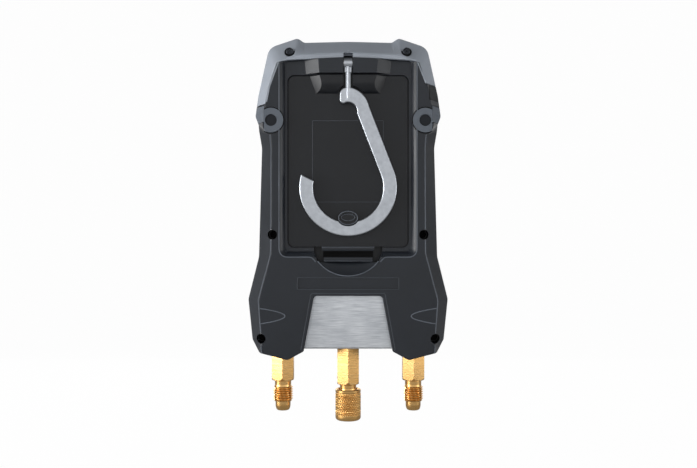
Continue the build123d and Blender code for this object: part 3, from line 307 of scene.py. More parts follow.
@dataclass(frozen=True)
class Clear:
    """Clear moulding or glass with a faint tint and very fine handling marks.

    Attributes:
        tint: Display colour of the light that passes.
        ior: Refraction of the material.
        roughness: Haze of the surface.
    """

    tint: Triple
    ior: float = 1.49
    roughness: float = 0.03

    def make(self, name: str) -> bpy.types.Material:
        """Builds the material under a name."""
        recipe = Recipe(name)
        marks = recipe.noise(recipe.place(), 420.0, 3.0, 0.6)
        recipe.feed(
            Base_Color=recipe.mix(marks, self.tint, (255, 255, 255)),
            Roughness=recipe.between(marks, 0.3, 0.8, self.roughness, self.roughness + 0.05))
        recipe.feed(Transmission_Weight=1.0, IOR=self.ior)
        return recipe.material


@dataclass(frozen=True)
class Wrapped:
    """Printed sleeve of a battery cell: a dark body and a copper band at its plus end.

    Attributes:
        body: Display colour of the sleeve.
        band: Display colour of the band.
        edge: Height in metres at which the band starts.
    """

    body: Triple
    band: Triple
    edge: float

    def make(self, name: str) -> bpy.types.Material:
        """Builds the material under a name."""
        recipe = Recipe(name)
        place = recipe.place()
        split = recipe.node("ShaderNodeSeparateXYZ")
        recipe.join(place, split.inputs["Vector"])
        band = recipe.between(split.outputs["Z"], self.edge - 0.0001, self.edge + 0.0001)
        scuffs = recipe.noise(place, 300.0, 3.0, 0.6)
        recipe.feed(Base_Color=recipe.mix(band, self.body, self.band),
                    Roughness=recipe.between(scuffs, 0.3, 0.7, 0.25, 0.4))
        recipe.relief(scuffs, 0.00002)
        return recipe.material


class Finish(Enum):
    """Every finish of the product, by the name of the record's material or of its use."""

    housing_plastic = Moulded((29, 33, 39), (35, 39, 46), 0.36, 2400, 0.00002, 0.42)
    cover_plastic = Moulded((20, 22, 26), (26, 28, 32), 0.36, 2400, 0.00002, 0.38)
    frame_plastic = Moulded((153, 159, 168), (163, 169, 178), 0.5, 2000, 0.00003)
    insert_plastic = Moulded((12, 13, 15), (30, 32, 35), 0.5, 2000, 0.00003, 0.3)
    # Lighter than the housing: painted highlights along edges, rims, creases, latch bars and stud
    # rings.
    edge_wear = Moulded((74, 79, 87), (98, 104, 113), 0.34, 2400, 0.00001, 0.5)
    # Dimmer painted highlights along the rims of the plate, the block and the label.
    faint_edge = Moulded((56, 60, 66), (66, 70, 77), 0.4, 2400, 0.00001, 0.4)
    frame_edge = Moulded((150, 156, 165), (164, 170, 179), 0.42, 2000, 0.00001)
    # Near black: painted shade in the screw bores, the latch's slot and the grooves round the
    # discs and screws.
    black_ring = Moulded((8, 8, 9), (12, 12, 13), 0.6, 2000, 0.00001, 0.2)
    cover_rubber = Moulded((92, 98, 106), (102, 108, 116), 0.62, 2200, 0.00003, 0.3)
    socket_plastic = Moulded((19, 23, 29), (24, 28, 35), 0.5, 2400, 0.00002, 0.3)
    seal_rubber = Moulded((22, 22, 24), (32, 32, 34), 0.7, 1800, 0.00003, 0.3)
    key_rubber = Moulded((70, 75, 82), (80, 85, 92), 0.6, 2200, 0.00002, 0.3)
    wheel_plastic = Moulded((40, 43, 48), (50, 53, 58), 0.48, 1900, 0.00005)
    low_blue = Moulded((24, 92, 176), (34, 104, 190), 0.38, 2400, 0.00002)
    high_red = Moulded((188, 34, 36), (200, 44, 44), 0.38, 2400, 0.00002)
    display_face = Moulded((168, 180, 164), (176, 188, 172), 0.35, 5200, 0.00001)
    board = Moulded((26, 92, 58), (34, 106, 68), 0.42, 1400, 0.00003)
    block_metal = Brushed((180, 185, 192), (238, 241, 245), (90, 700, 3600), 0.38, 0.00002, 0.85,
                          0.3)
    hook_metal = Brushed((190, 195, 202), (203, 208, 215), (400, 400, 400), 0.36, 0.000004)
    port_brass = Brushed((216, 166, 97), (242, 198, 132), (60, 60, 1600), 0.27, 0.00001)
    bright_steel = Brushed((172, 174, 176), (204, 206, 208), (80, 80, 900), 0.24)
    contact_steel = Brushed((182, 182, 178), (208, 208, 202), (90, 90, 90), 0.22)
    screw_steel = Brushed((44, 46, 50), (70, 73, 78), (300, 300, 300), 0.3)
    window_glass = Clear((236, 242, 240))
    sight_glass = Clear((232, 240, 236), 1.5, 0.02)
    cell_wrap = Wrapped((34, 36, 40), (196, 128, 66), -0.031)
    ink = Moulded((24, 28, 30), (30, 34, 36), 0.4, 3000, 0.00001)
    key_print = Moulded((214, 218, 222), (224, 228, 232), 0.5, 3000, 0.00001)


# Solids that lie in deep shade and take another finish than their slot's: near black, as painted
# shade.
SPECIAL_FINISH = {"housing_screws": Finish.black_ring, "cover_latch": Finish.black_ring}


class Paintbox:
    """Makes each finish once and dresses objects with it."""

    def __init__(self) -> None:
        """Starts with no material made."""
        self.made: dict[Finish, bpy.types.Material] = {}

    def material(self, finish: Finish) -> bpy.types.Material:
        """Material of a finish, made on its first use."""
        if finish not in self.made:
            self.made[finish] = finish.value.make(finish.name)
        return self.made[finish]

    def dress_solids(self) -> None:
        """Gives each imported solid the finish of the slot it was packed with."""
        for name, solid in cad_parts.items():
            slot = solid.data.materials[0].name.split(".")[0]
            finish = SPECIAL_FINISH.get(name, Finish[slot])
            for holder in solid.material_slots:
                holder.material = self.material(finish)
            LOG.info("solid %s wears %s", name, finish.name)


# ---- surfaces
def held(name: str, data: bpy.types.ID) -> Solid:
    """New object of the scene that holds the data."""
    holder = bpy.data.objects.new(name, data)
    bpy.context.scene.collection.objects.link(holder)
    return holder


def around(count: int) -> np.ndarray:
    """Angles once round in even steps, without the last."""
    return np.linspace(0, FULL_TURN, count, endpoint=False)


def blend_up(value: np.ndarray, low: float, high: float) -> np.ndarray:
    """Smooth step: 0 below low, 1 above high, and 3t^2 - 2t^3 between."""
    share = np.clip((value - low) / (high - low), 0, 1)
    return share * share * (3 - 2 * share)


def zigzag(value: np.ndarray) -> np.ndarray:
    """Triangle wave of period 1: 1 at whole numbers and 0 halfway between."""
    return np.abs(2 * (value - np.floor(value)) - 1)


class Surface:
    """Grids of points joined into one closed mesh."""

    def __init__(self) -> None:
        """Starts with no grid."""
        self.points: list[np.ndarray] = []
        self.faces: list[np.ndarray] = []
        self.count = 0

    def grid(self, points: np.ndarray, loop_rows: bool = False) -> None:
        """Adds a grid of quads, whose last column joins the first.

        Cell (i, j) joins rows i, i+1 and columns j, j+1.

        Args:
            points: Array of rows, columns and x, y, z.
            loop_rows: True where the last row joins the first.
        """
        rows, columns = points.shape[:2]
        row = np.arange(rows if loop_rows else rows - 1)[:, None]
        column = np.arange(columns)[None, :]
        below = (row + 1) % rows
        beside = (column + 1) % columns
        quads = np.stack([row * columns + column, row * columns + beside,
                          below * columns + beside, below * columns + column], axis=-1)
        self.faces.append(quads.reshape(-1, 4) + self.count)
        self.points.append(points.reshape(-1, 3))
        self.count += rows * columns

    def mesh(self, name: str) -> bpy.types.Mesh:
        """Mesh of all the grids."""
        mesh = bpy.data.meshes.new(name)
        mesh.from_pydata(np.concatenate(self.points).tolist(), [],
                         np.concatenate(self.faces).tolist())
        return mesh

    def make(self, name: str, finish: Finish, box: Paintbox, body: str,
             slot: str) -> Solid:
        """Turns the grids into an object that rides on a body.

        The signed volume, a sixth of the sum of p0 . (p1 x p2) over the triangles, tells
        whether the faces point inwards, and then every face is turned round.

        Args:
            name: Piece name.
            finish: Its finish.
            box: Where materials come from.
            body: Body that it moves with.
            slot: Material slot of the record; not used.

        Returns:
            The finished object.
        """
        mesh = self.mesh(name)
        shell = bmesh.new()
        shell.from_mesh(mesh)
        bmesh.ops.remove_doubles(shell, verts=shell.verts, dist=WELD)
        if shell.calc_volume(signed=True) < 0:
            bmesh.ops.reverse_faces(shell, faces=shell.faces)
        shell.to_mesh(mesh)
        shell.free()
        mesh.shade_smooth()
        mesh.set_sharp_from_angle(angle=SHARP_EDGE)
        piece = held(name, mesh)
        mesh.materials.append(box.material(finish))
        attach(piece, body)
        LOG.info("piece %s has %d faces", name, len(mesh.polygons))
        return piece


def stations(*stops: tuple[float, int]) -> np.ndarray:
    """Heights from stop to stop: each stop names its height and the points up to the next."""
    runs = [np.linspace(start, end, count)[:-1]
            for (start, count), (end, _) in zip(stops, stops[1:])]
    return np.concatenate([*runs, [stops[-1][0]]])


def spun(centre: Pair, turn: np.ndarray,
         *parts: tuple[np.ndarray, np.ndarray | float]) -> np.ndarray:
    """Points of a turned form about an upright axis.

    Point (i, j) is centre + r(i, j) (cos t_j, sin t_j) at height z_i.

    Args:
        centre: x and y of the axis.
        turn: Angles t_j, as one row.
        *parts: Heights z_i and radii r(i, j) of each part of the profile, in order.

    Returns:
        Array of rows, columns and x, y, z.
    """
    heights = np.concatenate([z for z, _ in parts])
    radius = np.concatenate([np.broadcast_to(r, (len(z), turn.size)) for z, r in parts])
    x = centre[0] + radius * np.cos(turn)
    y = centre[1] + radius * np.sin(turn)
    return np.stack([x, y, np.broadcast_to(heights[:, None], x.shape)], axis=-1)


def axis_of(node: str) -> tuple[Pair, float, float]:
    """Middle x and y of a solid's box, with its foot and its top."""
    low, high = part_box(node)
    return ((low.x + high.x) / 2, (low.y + high.y) / 2), low.z, high.z


def flat_form(outline: np.ndarray, low: float, high: float) -> np.ndarray:
    """Rows of a thin plate that stands on a plane of constant y.

    The rows are the middle of the outline at y = low, the outline at low, the outline at
    high, and its middle at high, so the plate is closed.

    Args:
        outline: Points x, z once round, star-shaped about their mean.
        low: y of the back.
        high: y of the front.

    Returns:
        Array of 4 rows of x, y, z.
    """
    middle = np.broadcast_to(outline.mean(axis=0), outline.shape)
    rows = [(middle, low), (outline, low), (outline, high), (middle, high)]
    return np.stack([np.insert(row, 1, y, axis=1) for row, y in rows])


def eased(corners: np.ndarray, reach: float, closed: bool) -> np.ndarray:
    """Line through corners that rounds each one.

    Round a corner p the line is (1-t)^2 a + 2t(1-t) p + t^2 b, where a and b lie on the
    neighbouring sides, at most reach and under half a side away from p.

    Args:
        corners: Points x, z.
        reach: Distance before and after each corner.
        closed: True where the last point joins the first.

    Returns:
        Points x, z of the rounded line.
    """
    before = np.roll(corners, 1, axis=0) - corners
    after = np.roll(corners, -1, axis=0) - corners
    if not closed:
        before[0], after[-1] = after[0], before[-1]
    back, ahead = (np.linalg.norm(side, axis=1, keepdims=True) for side in (before, after))
    far = np.minimum(reach, 0.49 * np.minimum(back, ahead))
    if not closed:
        far[[0, -1]] = 0.0
    share = np.linspace(0, 1, 9)[None, :, None]
    start = (corners + before / back * far)[:, None, :]
    end = (corners + after / ahead * far)[:, None, :]
    curve = (1 - share) ** 2 * start + 2 * share * (1 - share) * corners[:, None, :]
    line = (curve + share ** 2 * end).reshape(-1, 2)
    step = np.linalg.norm(np.diff(line, axis=0), axis=1)
    return line[np.concatenate([[True], step > 1e-6])]


def swept(line: np.ndarray, section: np.ndarray, closed: bool) -> np.ndarray:
    """Carries a closed section along a line.

    Point (i, j) is line_i + o_j side_i, with o_j and y_j the section's offset and height,
    and side_i the unit normal of the line in its own plane, to the line's right.

    Args:
        line: Points x, y, z.
        section: Points offset, y.
        closed: True where the line joins its own start.

    Returns:
        Array of rows, columns and x, y, z, whose open ends are closed to a point.
    """
    if closed:
        along = np.roll(line, -1, axis=0) - np.roll(line, 1, axis=0)
    else:
        along = np.gradient(line, axis=0)
    side = np.stack([along[:, 2], np.zeros(len(line)), -along[:, 0]], axis=-1)
    side /= np.linalg.norm(side, axis=1, keepdims=True)
    points = line[:, None, :] + side[:, None, :] * section[None, :, :1]
    points[..., 1] += section[None, :, 1]
    if closed:
        return points
    ends = [np.broadcast_to(points[i].mean(axis=0), points[i].shape)[None] for i in (0, -1)]
    return np.concatenate([ends[0], points, ends[1]])


@dataclass(frozen=True)
class Bead:
    """Fine rounded line on a face: an edge, a border or a rib, by default with a painted
    highlight, in millimetres.

    Attributes:
        name: Piece name.
        corners: Points x, z.
        y: Height of the face it lies on.
        ease: Rounding at the corners.
        width: Its width.
        height: How far it stands out of the face.
        closed: True for a loop.
        mirrored: True where the other side has one too.
        finish: Its finish.
        slot: Material slot of the record.
        body: Body that it moves with.
    """

    name: str
    corners: tuple[Pair, ...]
    y: float
    ease: float = 2.0
    width: float = 0.6
    height: float = 0.2
    closed: bool = False
    mirrored: bool = False
    finish: Finish = Finish.edge_wear
    slot: str = "housing_plastic"
    body: str = "root"

    def make(self, box: Paintbox) -> Solid:
        """Builds the bead, whose section is an ellipse with its middle in the face."""
        turn = around(10)
        section = np.stack([self.width / 2 * np.cos(turn), self.height * np.sin(turn)], axis=-1)
        surface = Surface()
        for side in (1, -1) if self.mirrored else (1,):
            flat = eased(np.array(self.corners) * (side, 1), self.ease, self.closed)
            line = np.insert(flat, 1, self.y, axis=1)
            surface.grid(swept(line * MM, section * MM, self.closed), loop_rows=self.closed)
        return surface.make(self.name, self.finish, box, self.body, self.slot)


# ---- housing trim
def circle(centre: Pair, radii: Pair, angles: np.ndarray) -> np.ndarray:
    """Points of an ellipse's arc: centre + (a cos t, b sin t) for angles t in radians."""
    return np.stack([centre[0] + radii[0] * np.cos(angles),
                     centre[1] + radii[1] * np.sin(angles)], axis=-1)


def frame_of(left: float, top: float, right: float, foot: float) -> np.ndarray:
    """Corners of an upright rectangle, from its upper left."""
    return np.array([(left, top), (right, top), (right, foot), (left, foot)])


@dataclass
class HousingTrim:
    """Edges, borders and rings of the battery side, in millimetres: painted highlights on the
    edges and painted shade in grooves and screw rings.

    Attributes:
        face_y: Height of the rear face.
        cover_y: Height of the cover's face.
        recess: Half width, top and bottom of the recess at its rim.
        bevel: Width and depth of the recess's sloping side.
        crease: Outer edge of the rear face on one side, broken at the screws.
        scoop: Height of the scoop's middle, and its radius.
        scoop_half: Half angle of the scoop's arc, in degrees.
        thumb: Tip, length, height and half width of the thumb grip's outline.
        studs: Half width, half height and height of the stud's two ovals, and y of each.
        disc: x, z and radius of the groove round a socket cover's disc.
        disc_arc: First and last angle of that groove, in degrees.
        arms: Inner edges of the bumper's two arms.
        label: Left, top, right and foot of the cover's label field.
        plate: Left, top, right and foot of the field above the block.
        frame_screw: Place of a bumper screw.
        screw_y: Height of the bumper's face at that screw.
        frame_slope: Rise of the bumper's face along z at that screw.
    """

    face_y: float = -1.1
    cover_y: float = 2.2
    recess: Triple = (37.2, 0.6, -104.6)
    bevel: Pair = (3.05, 3.3)
    crease: tuple[tuple[Pair, ...], ...] = (
        ((42.1, -38.6), (41.5, -46.0), (41.66, -89.5)),
        ((41.68, -95.5), (41.7, -102.5), (48.4, -127.8), (47.1, -145.4)),
        ((46.9, -152.1), (46.6, -156.3)),
    )
    scoop: Pair = (-94.0, 20.8)
    scoop_half: float = 52.0
    thumb: tuple[float, ...] = (34.0, 13.6, -136.4, 4.2)
    studs: tuple[tuple[float, ...], ...] = ((5.1, 3.6, -83.5, -1.7), (3.7, 1.8, -83.2, -0.95))
    disc: Triple = (41.6, -30.8, 7.0)
    disc_arc: Pair = (58.0, 302.0)
    arms: tuple[tuple[str, tuple[Pair, ...]], ...] = (
        ("high", ((-37.5, 0.4), (-42.3, -12.7), (-43.9, -21.0))),
        ("low", ((37.5, 0.4), (41.9, -10.9))),
    )
    label: tuple[float, ...] = (-19.3, -30.7, 19.1, -74.8)
    plate: tuple[float, ...] = (-27.3, -115.7, 27.3, -122.0)
    frame_screw: Pair = (31.6, 6.6)
    screw_y: float = 2.2
    frame_slope: float = 0.906

    def build(self, box: Paintbox) -> None:
        """Makes every piece of the trim."""
        self.recess_band(box)
        for bead in (*self.edges(), *self.latch(), *self.borders()):
            bead.make(box)
        self.screw_rings(box)

    def edges(self) -> list[Bead]:
        """Edges of the housing, the scoop and the grips, and rims above the block, as lines of
        painted highlight.
        """
        face = self.face_y
        wide, top, foot = self.recess
        half = math.radians(self.scoop_half)
        down = -math.pi / 2
        scoop = circle((0.0, self.scoop[0]), (self.scoop[1],) * 2,
                       np.linspace(down - half, down + half, 25))
        tip, length, height, spread = self.thumb
        reach = np.linspace(-1, 1, 25)
        thumb = np.stack([tip + length * reach ** 2, height + spread * reach], axis=-1)
        block = ((-25.4, -154.6), (-19.9, -124.2), (19.9, -124.2), (25.4, -154.6))
        return [
            Bead("recess_rim", ((wide, top), (wide, foot), (19.6, foot), (17.4, foot - 2.6)), face,
                 5.0, 0.55, 0.12, mirrored=True),
            *(Bead(f"rear_crease_{i}", line, face + 0.1, 1.5, 0.6, 0.14, mirrored=True)
              for i, line in enumerate(self.crease)),
            Bead("scoop_rim", scoop, face, 1.0, 0.6, 0.14),
            Bead("thumb_rim", thumb, face, 1.0, 0.6, 0.14, mirrored=True),
            Bead("plate_rim", frame_of(*self.plate), face, 0.3, 0.35, 0.08, closed=True,
                 finish=Finish.faint_edge),
            Bead("block_rim", block, face, 1.0, 0.5, 0.12, finish=Finish.faint_edge),
        ]

    def latch(self) -> list[Bead]:
        """Bars at the latch, the thin edge bars with a painted highlight: x of their ends, z, y,
        width and height, and the body they ride.
        """
        rows = (("cover_bar", 14.0, -100.2, self.cover_y - 0.15, 2.2, 0.4, "root"),
                ("cover_bar_edge", 14.2, -99.3, self.cover_y - 0.2, 0.45, 0.3, "root"),
                ("finger_bar", 13.2, -105.8, 0.15, 2.3, 0.4, "latch"),
                ("finger_bar_edge", 13.2, -106.7, 0.1, 0.45, 0.3, "latch"))
        return [Bead(name, ((-end, z), (end, z)), y, 0.3, width, height, slot="cover_plastic",
                     body=body,
                     finish=Finish.edge_wear if "edge" in name else Finish.housing_plastic)
                for name, end, z, y, width, height, body in rows]

    def borders(self) -> list[Bead]:
        """Label border and rings of the stud with painted highlights, grooves round the discs
        painted black as shade, and edges of the bumper.
        """
        x, z, radius = self.disc
        groove = circle((x, z), (radius, radius), np.radians(np.linspace(*self.disc_arc, 40)))
        loop = {"closed": True, "slot": "cover_plastic"}
        return [
            Bead("label_border", frame_of(*self.label), self.cover_y, 0.4, 0.3, 0.05,
                 finish=Finish.faint_edge, **loop),
            Bead("disc_groove", groove, self.face_y, 0.5, 0.55, 0.05, mirrored=True,
                 finish=Finish.black_ring),
            *(Bead(name, circle((0.0, z), (a, b), around(40)), y, 0.5, width, 0.2, **loop)
              for name, width, (a, b, z, y) in zip(("stud_ring", "stud_inner_ring"), (0.5, 0.45),
                                                   self.studs)),
            *(Bead(f"frame_edge_{name}", line, self.face_y + 0.05, 1.0, 0.6, 0.16,
                   finish=Finish.frame_edge, slot="frame_plastic")
              for name, line in self.arms),
        ]

    def recess_band(self, box: Paintbox) -> Solid:
        """Slightly rounded face over the recess's sloping side.

        Its section is an arc whose tilt runs evenly from a to b about the slope's own tilt,
        so offset = R (sin b - sin t) and height = R (cos t - cos b), closed by its chord.

        Args:
            box: Where materials come from.

        Returns:
            The piece.
        """
        wide, top, foot = self.recess
        across, deep = self.bevel
        middle = math.atan2(deep, across)
        tilt = middle + 0.39 * np.linspace(-1, 1, 12)
        radius = across / (math.sin(tilt[-1]) - math.sin(tilt[0]))
        offset = radius * (np.sin(tilt) - math.sin(tilt[0]))
        height = radius * (math.cos(tilt[0]) - np.cos(tilt))
        front = np.stack([offset, height - SUNK], axis=-1)
        chord = np.array([[across, deep + 0.25], [0.25, 0.25]])
        section = np.concatenate([front, chord])
        corners = np.array([(wide, top), (wide, foot), (19.0, foot)])
        surface = Surface()
        for side in (1, -1):
            flat = eased(corners * (side, 1), 5.0, False)
            line = np.insert(flat, 1, self.face_y, axis=1)
            surface.grid(swept(line * MM, section * (side, 1) * MM, False))
        return surface.make("recess_band", Finish.housing_plastic, box, "root", "housing_plastic")

    def screw_rings(self, box: Paintbox) -> Solid:
        """Black rings of painted shade round the bumper screws, which lie on the bumper's slope.
        """
        turn = around(48)
        radius = np.array([2.0, 2.0, 2.2, 2.75, 2.95, 2.95])[:, None]
        lift = np.array([0.6, 0.0, -0.12, -0.12, 0.0, 0.6])[:, None]
        surface = Surface()
        for side in (1, -1):
            x = side * self.frame_screw[0] + radius * np.cos(turn)
            z = self.frame_screw[1] + radius * np.sin(turn)
            y = self.screw_y + lift + self.frame_slope * (z - self.frame_screw[1])
            surface.grid(np.stack([x, y, z], axis=-1) * MM, loop_rows=True)
        return surface.make("screw_rings", Finish.black_ring, box, "root", "housing_plastic")


# ---- display side
@dataclass(frozen=True)
class Print:
    """Flat marks just proud of a face of the display side, in millimetres.

    Attributes:
        name: Piece name.
        outlines: Marks, each as points x, z.
        y: Height of the face.
        finish: Finish of the marks.
        slot: Material slot of the record.
        body: Body that it moves with.
    """

    name: str
    outlines: list[np.ndarray]
    y: float
    finish: Finish
    slot: str
    body: str = "root"

    def make(self, box: Paintbox) -> Solid:
        """Builds the marks."""
        surface = Surface()
        for outline in self.outlines:
            surface.grid(flat_form(outline, self.y - SUNK, self.y + PRINT_THICK) * MM)
        return surface.make(self.name, self.finish, box, self.body, self.slot)


def regular(centre: Pair, radius: float, sides: int, start: float = 0.0) -> np.ndarray:
    """Regular outline with its first corner at start degrees."""
    return circle(centre, (radius, radius), math.radians(start) + around(sides))


def bar(centre: Pair, half: Pair) -> np.ndarray:
    """Rectangle about a centre."""
    signs = np.array([(-1, -1), (1, -1), (1, 1), (-1, 1)])
    return np.array(centre) + signs * np.array(half)


@dataclass
class Display:
    """Segment display behind the window: two pressures, two temperatures and two bar scales.

    Attributes:
        face_y: Height of the display's face, in millimetres.
        slant: Lean of the digits.
        wide: Width of a digit, as a share of its height.
        thin: Half thickness of a segment, as a share of the height.
        pitch: Step from digit to digit, as a share of the height.
        columns: Left edge of each side, with its pressure and its temperature.
        pressure: Indent, foot and height of the pressures.
        heat: Indent, foot and height of the temperatures.
        scale: Indent, height and pitch of the bar scale.
        scale_bars: Number of bars in a scale.
        lit: Segments of digits 0 to 9, lettered from the top clockwise, the middle one last.
    """

    face_y: float = 38.4
    slant: float = 0.09
    wide: float = 0.54
    thin: float = 0.055
    pitch: float = 0.8
    columns: tuple[tuple[float, str, str], ...] = ((32.0, "04.6", "02.5"), (-3.5, "12.8", "36.4"))
    pressure: Triple = (1.0, -27.0, 12.5)
    heat: Triple = (3.0, -46.0, 7.0)
    scale: Triple = (2.4, -56.5, 1.95)
    scale_bars: int = 13
    lit: tuple[str, ...] = ("abcdef", "bc", "abdeg", "abcdg", "bcfg", "acdfg", "acdefg", "abc",
                            "abcdefg", "abcdfg")

    def digit(self, sign: str, left: float, foot: float, tall: float) -> list[np.ndarray]:
        """Segments of one digit, seen from the display side, where x runs to the left.

        Args:
            sign: The digit.
            left: x of its left edge.
            foot: z of its foot.
            tall: Its height.

        Returns:
            Outlines of its lit segments.
        """
        wide, thin = self.wide * tall, self.thin * tall
        middle = {"a": (wide / 2, tall), "b": (wide, 0.75 * tall), "c": (wide, tall / 4),
                  "d": (wide / 2, 0), "e": (0, tall / 4), "f": (0, 0.75 * tall),
                  "g": (wide / 2, tall / 2)}
        level, standing = (np.array([(-half - thin, 0), (-half, -thin), (half, -thin),
                                     (half + thin, 0), (half, thin), (-half, thin)])
                           for half in (wide / 2 - thin * 1.2, tall / 4 - thin * 1.2))
        upright = standing[:, ::-1] * (-1, 1)
        marks = []
        for letter in self.lit[int(sign)]:
            shape = (level if letter in "adg" else upright) + np.array(middle[letter])
            shape[:, 0] += self.slant * shape[:, 1]
            marks.append(np.stack([left - shape[:, 0], foot + shape[:, 1]], axis=-1))
        return marks

    def number(self, text: str, left: float, foot: float, tall: float) -> list[np.ndarray]:
        """Digits side by side, with a point drawn as a small square."""
        marks: list[np.ndarray] = []
        for sign in text:
            if sign == ".":
                marks.append(bar((left + 0.13 * tall, foot), (0.06 * tall, 0.06 * tall)))
            else:
                marks += self.digit(sign, left, foot, tall)
                left -= self.pitch * tall
        return marks

    def build(self, box: Paintbox) -> None:
        """Makes the digits, the frames between them and the bar scales."""
        marks: list[np.ndarray] = []
        indent, z, pitch = self.scale
        for left, pressure, heat in self.columns:
            for text, (inset, foot, tall) in ((pressure, self.pressure), (heat, self.heat)):
                marks += self.number(text, left - inset, foot, tall)
            marks += [bar((left - indent - pitch * i, z), (0.6, 1.1 + 0.16 * i))
                      for i in range(self.scale_bars)]
        marks += [bar((0, -34.0), (0.2, 26.0)), bar((0, -32.5), (33.0, 0.2)),
                  bar((0, -51.0), (33.0, 0.2))]
        Print("display_digits", marks, self.face_y, Finish.ink, "display_face").make(box)


@dataclass
class Controls:
    """Marks on the keys and on the caps of the hand wheels.

    Attributes:
        key_y: Height of the keys' faces, in millimetres.
        key_z: Height of the row of keys.
        key_x: Places of keys 1 to 4 along the row.
        cap_y: Height of the wheel caps' faces.
        wheel: Place of the low side's wheel.
        arc: Radius, first and last angle of the turning arrow.
        sign: Distance of the signs beside and below the cap's middle.
        stroke: Half length and half thickness of a sign.
    """

    key_y: float = 42.2
    key_z: float = -83.0
    key_x: tuple[float, ...] = (-27.0, -9.0, 9.0, 27.0)
    cap_y: float = 66.1
    wheel: Pair = (33.0, -138.0)
    arc: Triple = (8.4, 35.0, 145.0)
    sign: Pair = (4.2, 3.0)
    stroke: Pair = (1.6, 0.4)

    def build(self, box: Paintbox) -> None:
        """Makes every mark: a dot in a ring, a point down, a point up and three bars."""
        z = self.key_z
        ringed, down, up, listed = self.key_x
        shapes = ([regular((ringed, z), 0.8, 16)], [regular((down, z - 0.4), 2.3, 3, 90)],
                  [regular((up, z + 0.4), 2.3, 3, -90)],
                  [bar((listed, z + 1.5 * i), (2.4, 0.35)) for i in (-1, 0, 1)])
        for number, outlines in enumerate(shapes, 1):
            Print(f"key_{number}_mark", outlines, self.key_y, Finish.key_print, "key_rubber",
                  f"key_{number}").make(box)
        Bead("key_1_ring", regular((ringed, z), 2.0, 28), self.key_y, 0.3, 0.45, 0.1, closed=True,
             finish=Finish.key_print, slot="key_rubber", body="key_1").make(box)
        for side, name, slot in ((1, "low", "low_blue"), (-1, "high", "high_red")):
            self.wheel_marks(side, name, slot, box)

    def wheel_marks(self, side: int, name: str, slot: str, box: Paintbox) -> None:
        """Turning arrow, its two heads, and a plus and a minus on one cap.

        Args:
            side: 1 on the low side, -1 on the high side.
            name: Name of the side.
            slot: Material slot of its cap.
            box: Where materials come from.
        """
        x, z = side * self.wheel[0], self.wheel[1]
        radius, first, last = self.arc
        body = f"wheel_{name}"
        arc = circle((x, z), (radius, radius), np.radians(np.linspace(first, last, 24)))
        Bead(f"{body}_arc", arc, self.cap_y, 0.3, 0.8, 0.14, finish=Finish.key_print, slot=slot,
             body=body).make(box)
        heads = [regular(tuple(arc[i]), 1.5, 3, angle)
                 for i, angle in ((0, first - 90), (-1, last + 90))]
        beside, below = self.sign
        plus, minus = (x - beside, z - below), (x + beside, z - below)
        signs = [bar(plus, self.stroke), bar(plus, self.stroke[::-1]), bar(minus, self.stroke)]
        Print(f"{body}_signs", heads + signs, self.cap_y, Finish.key_print, slot, body).make(box)


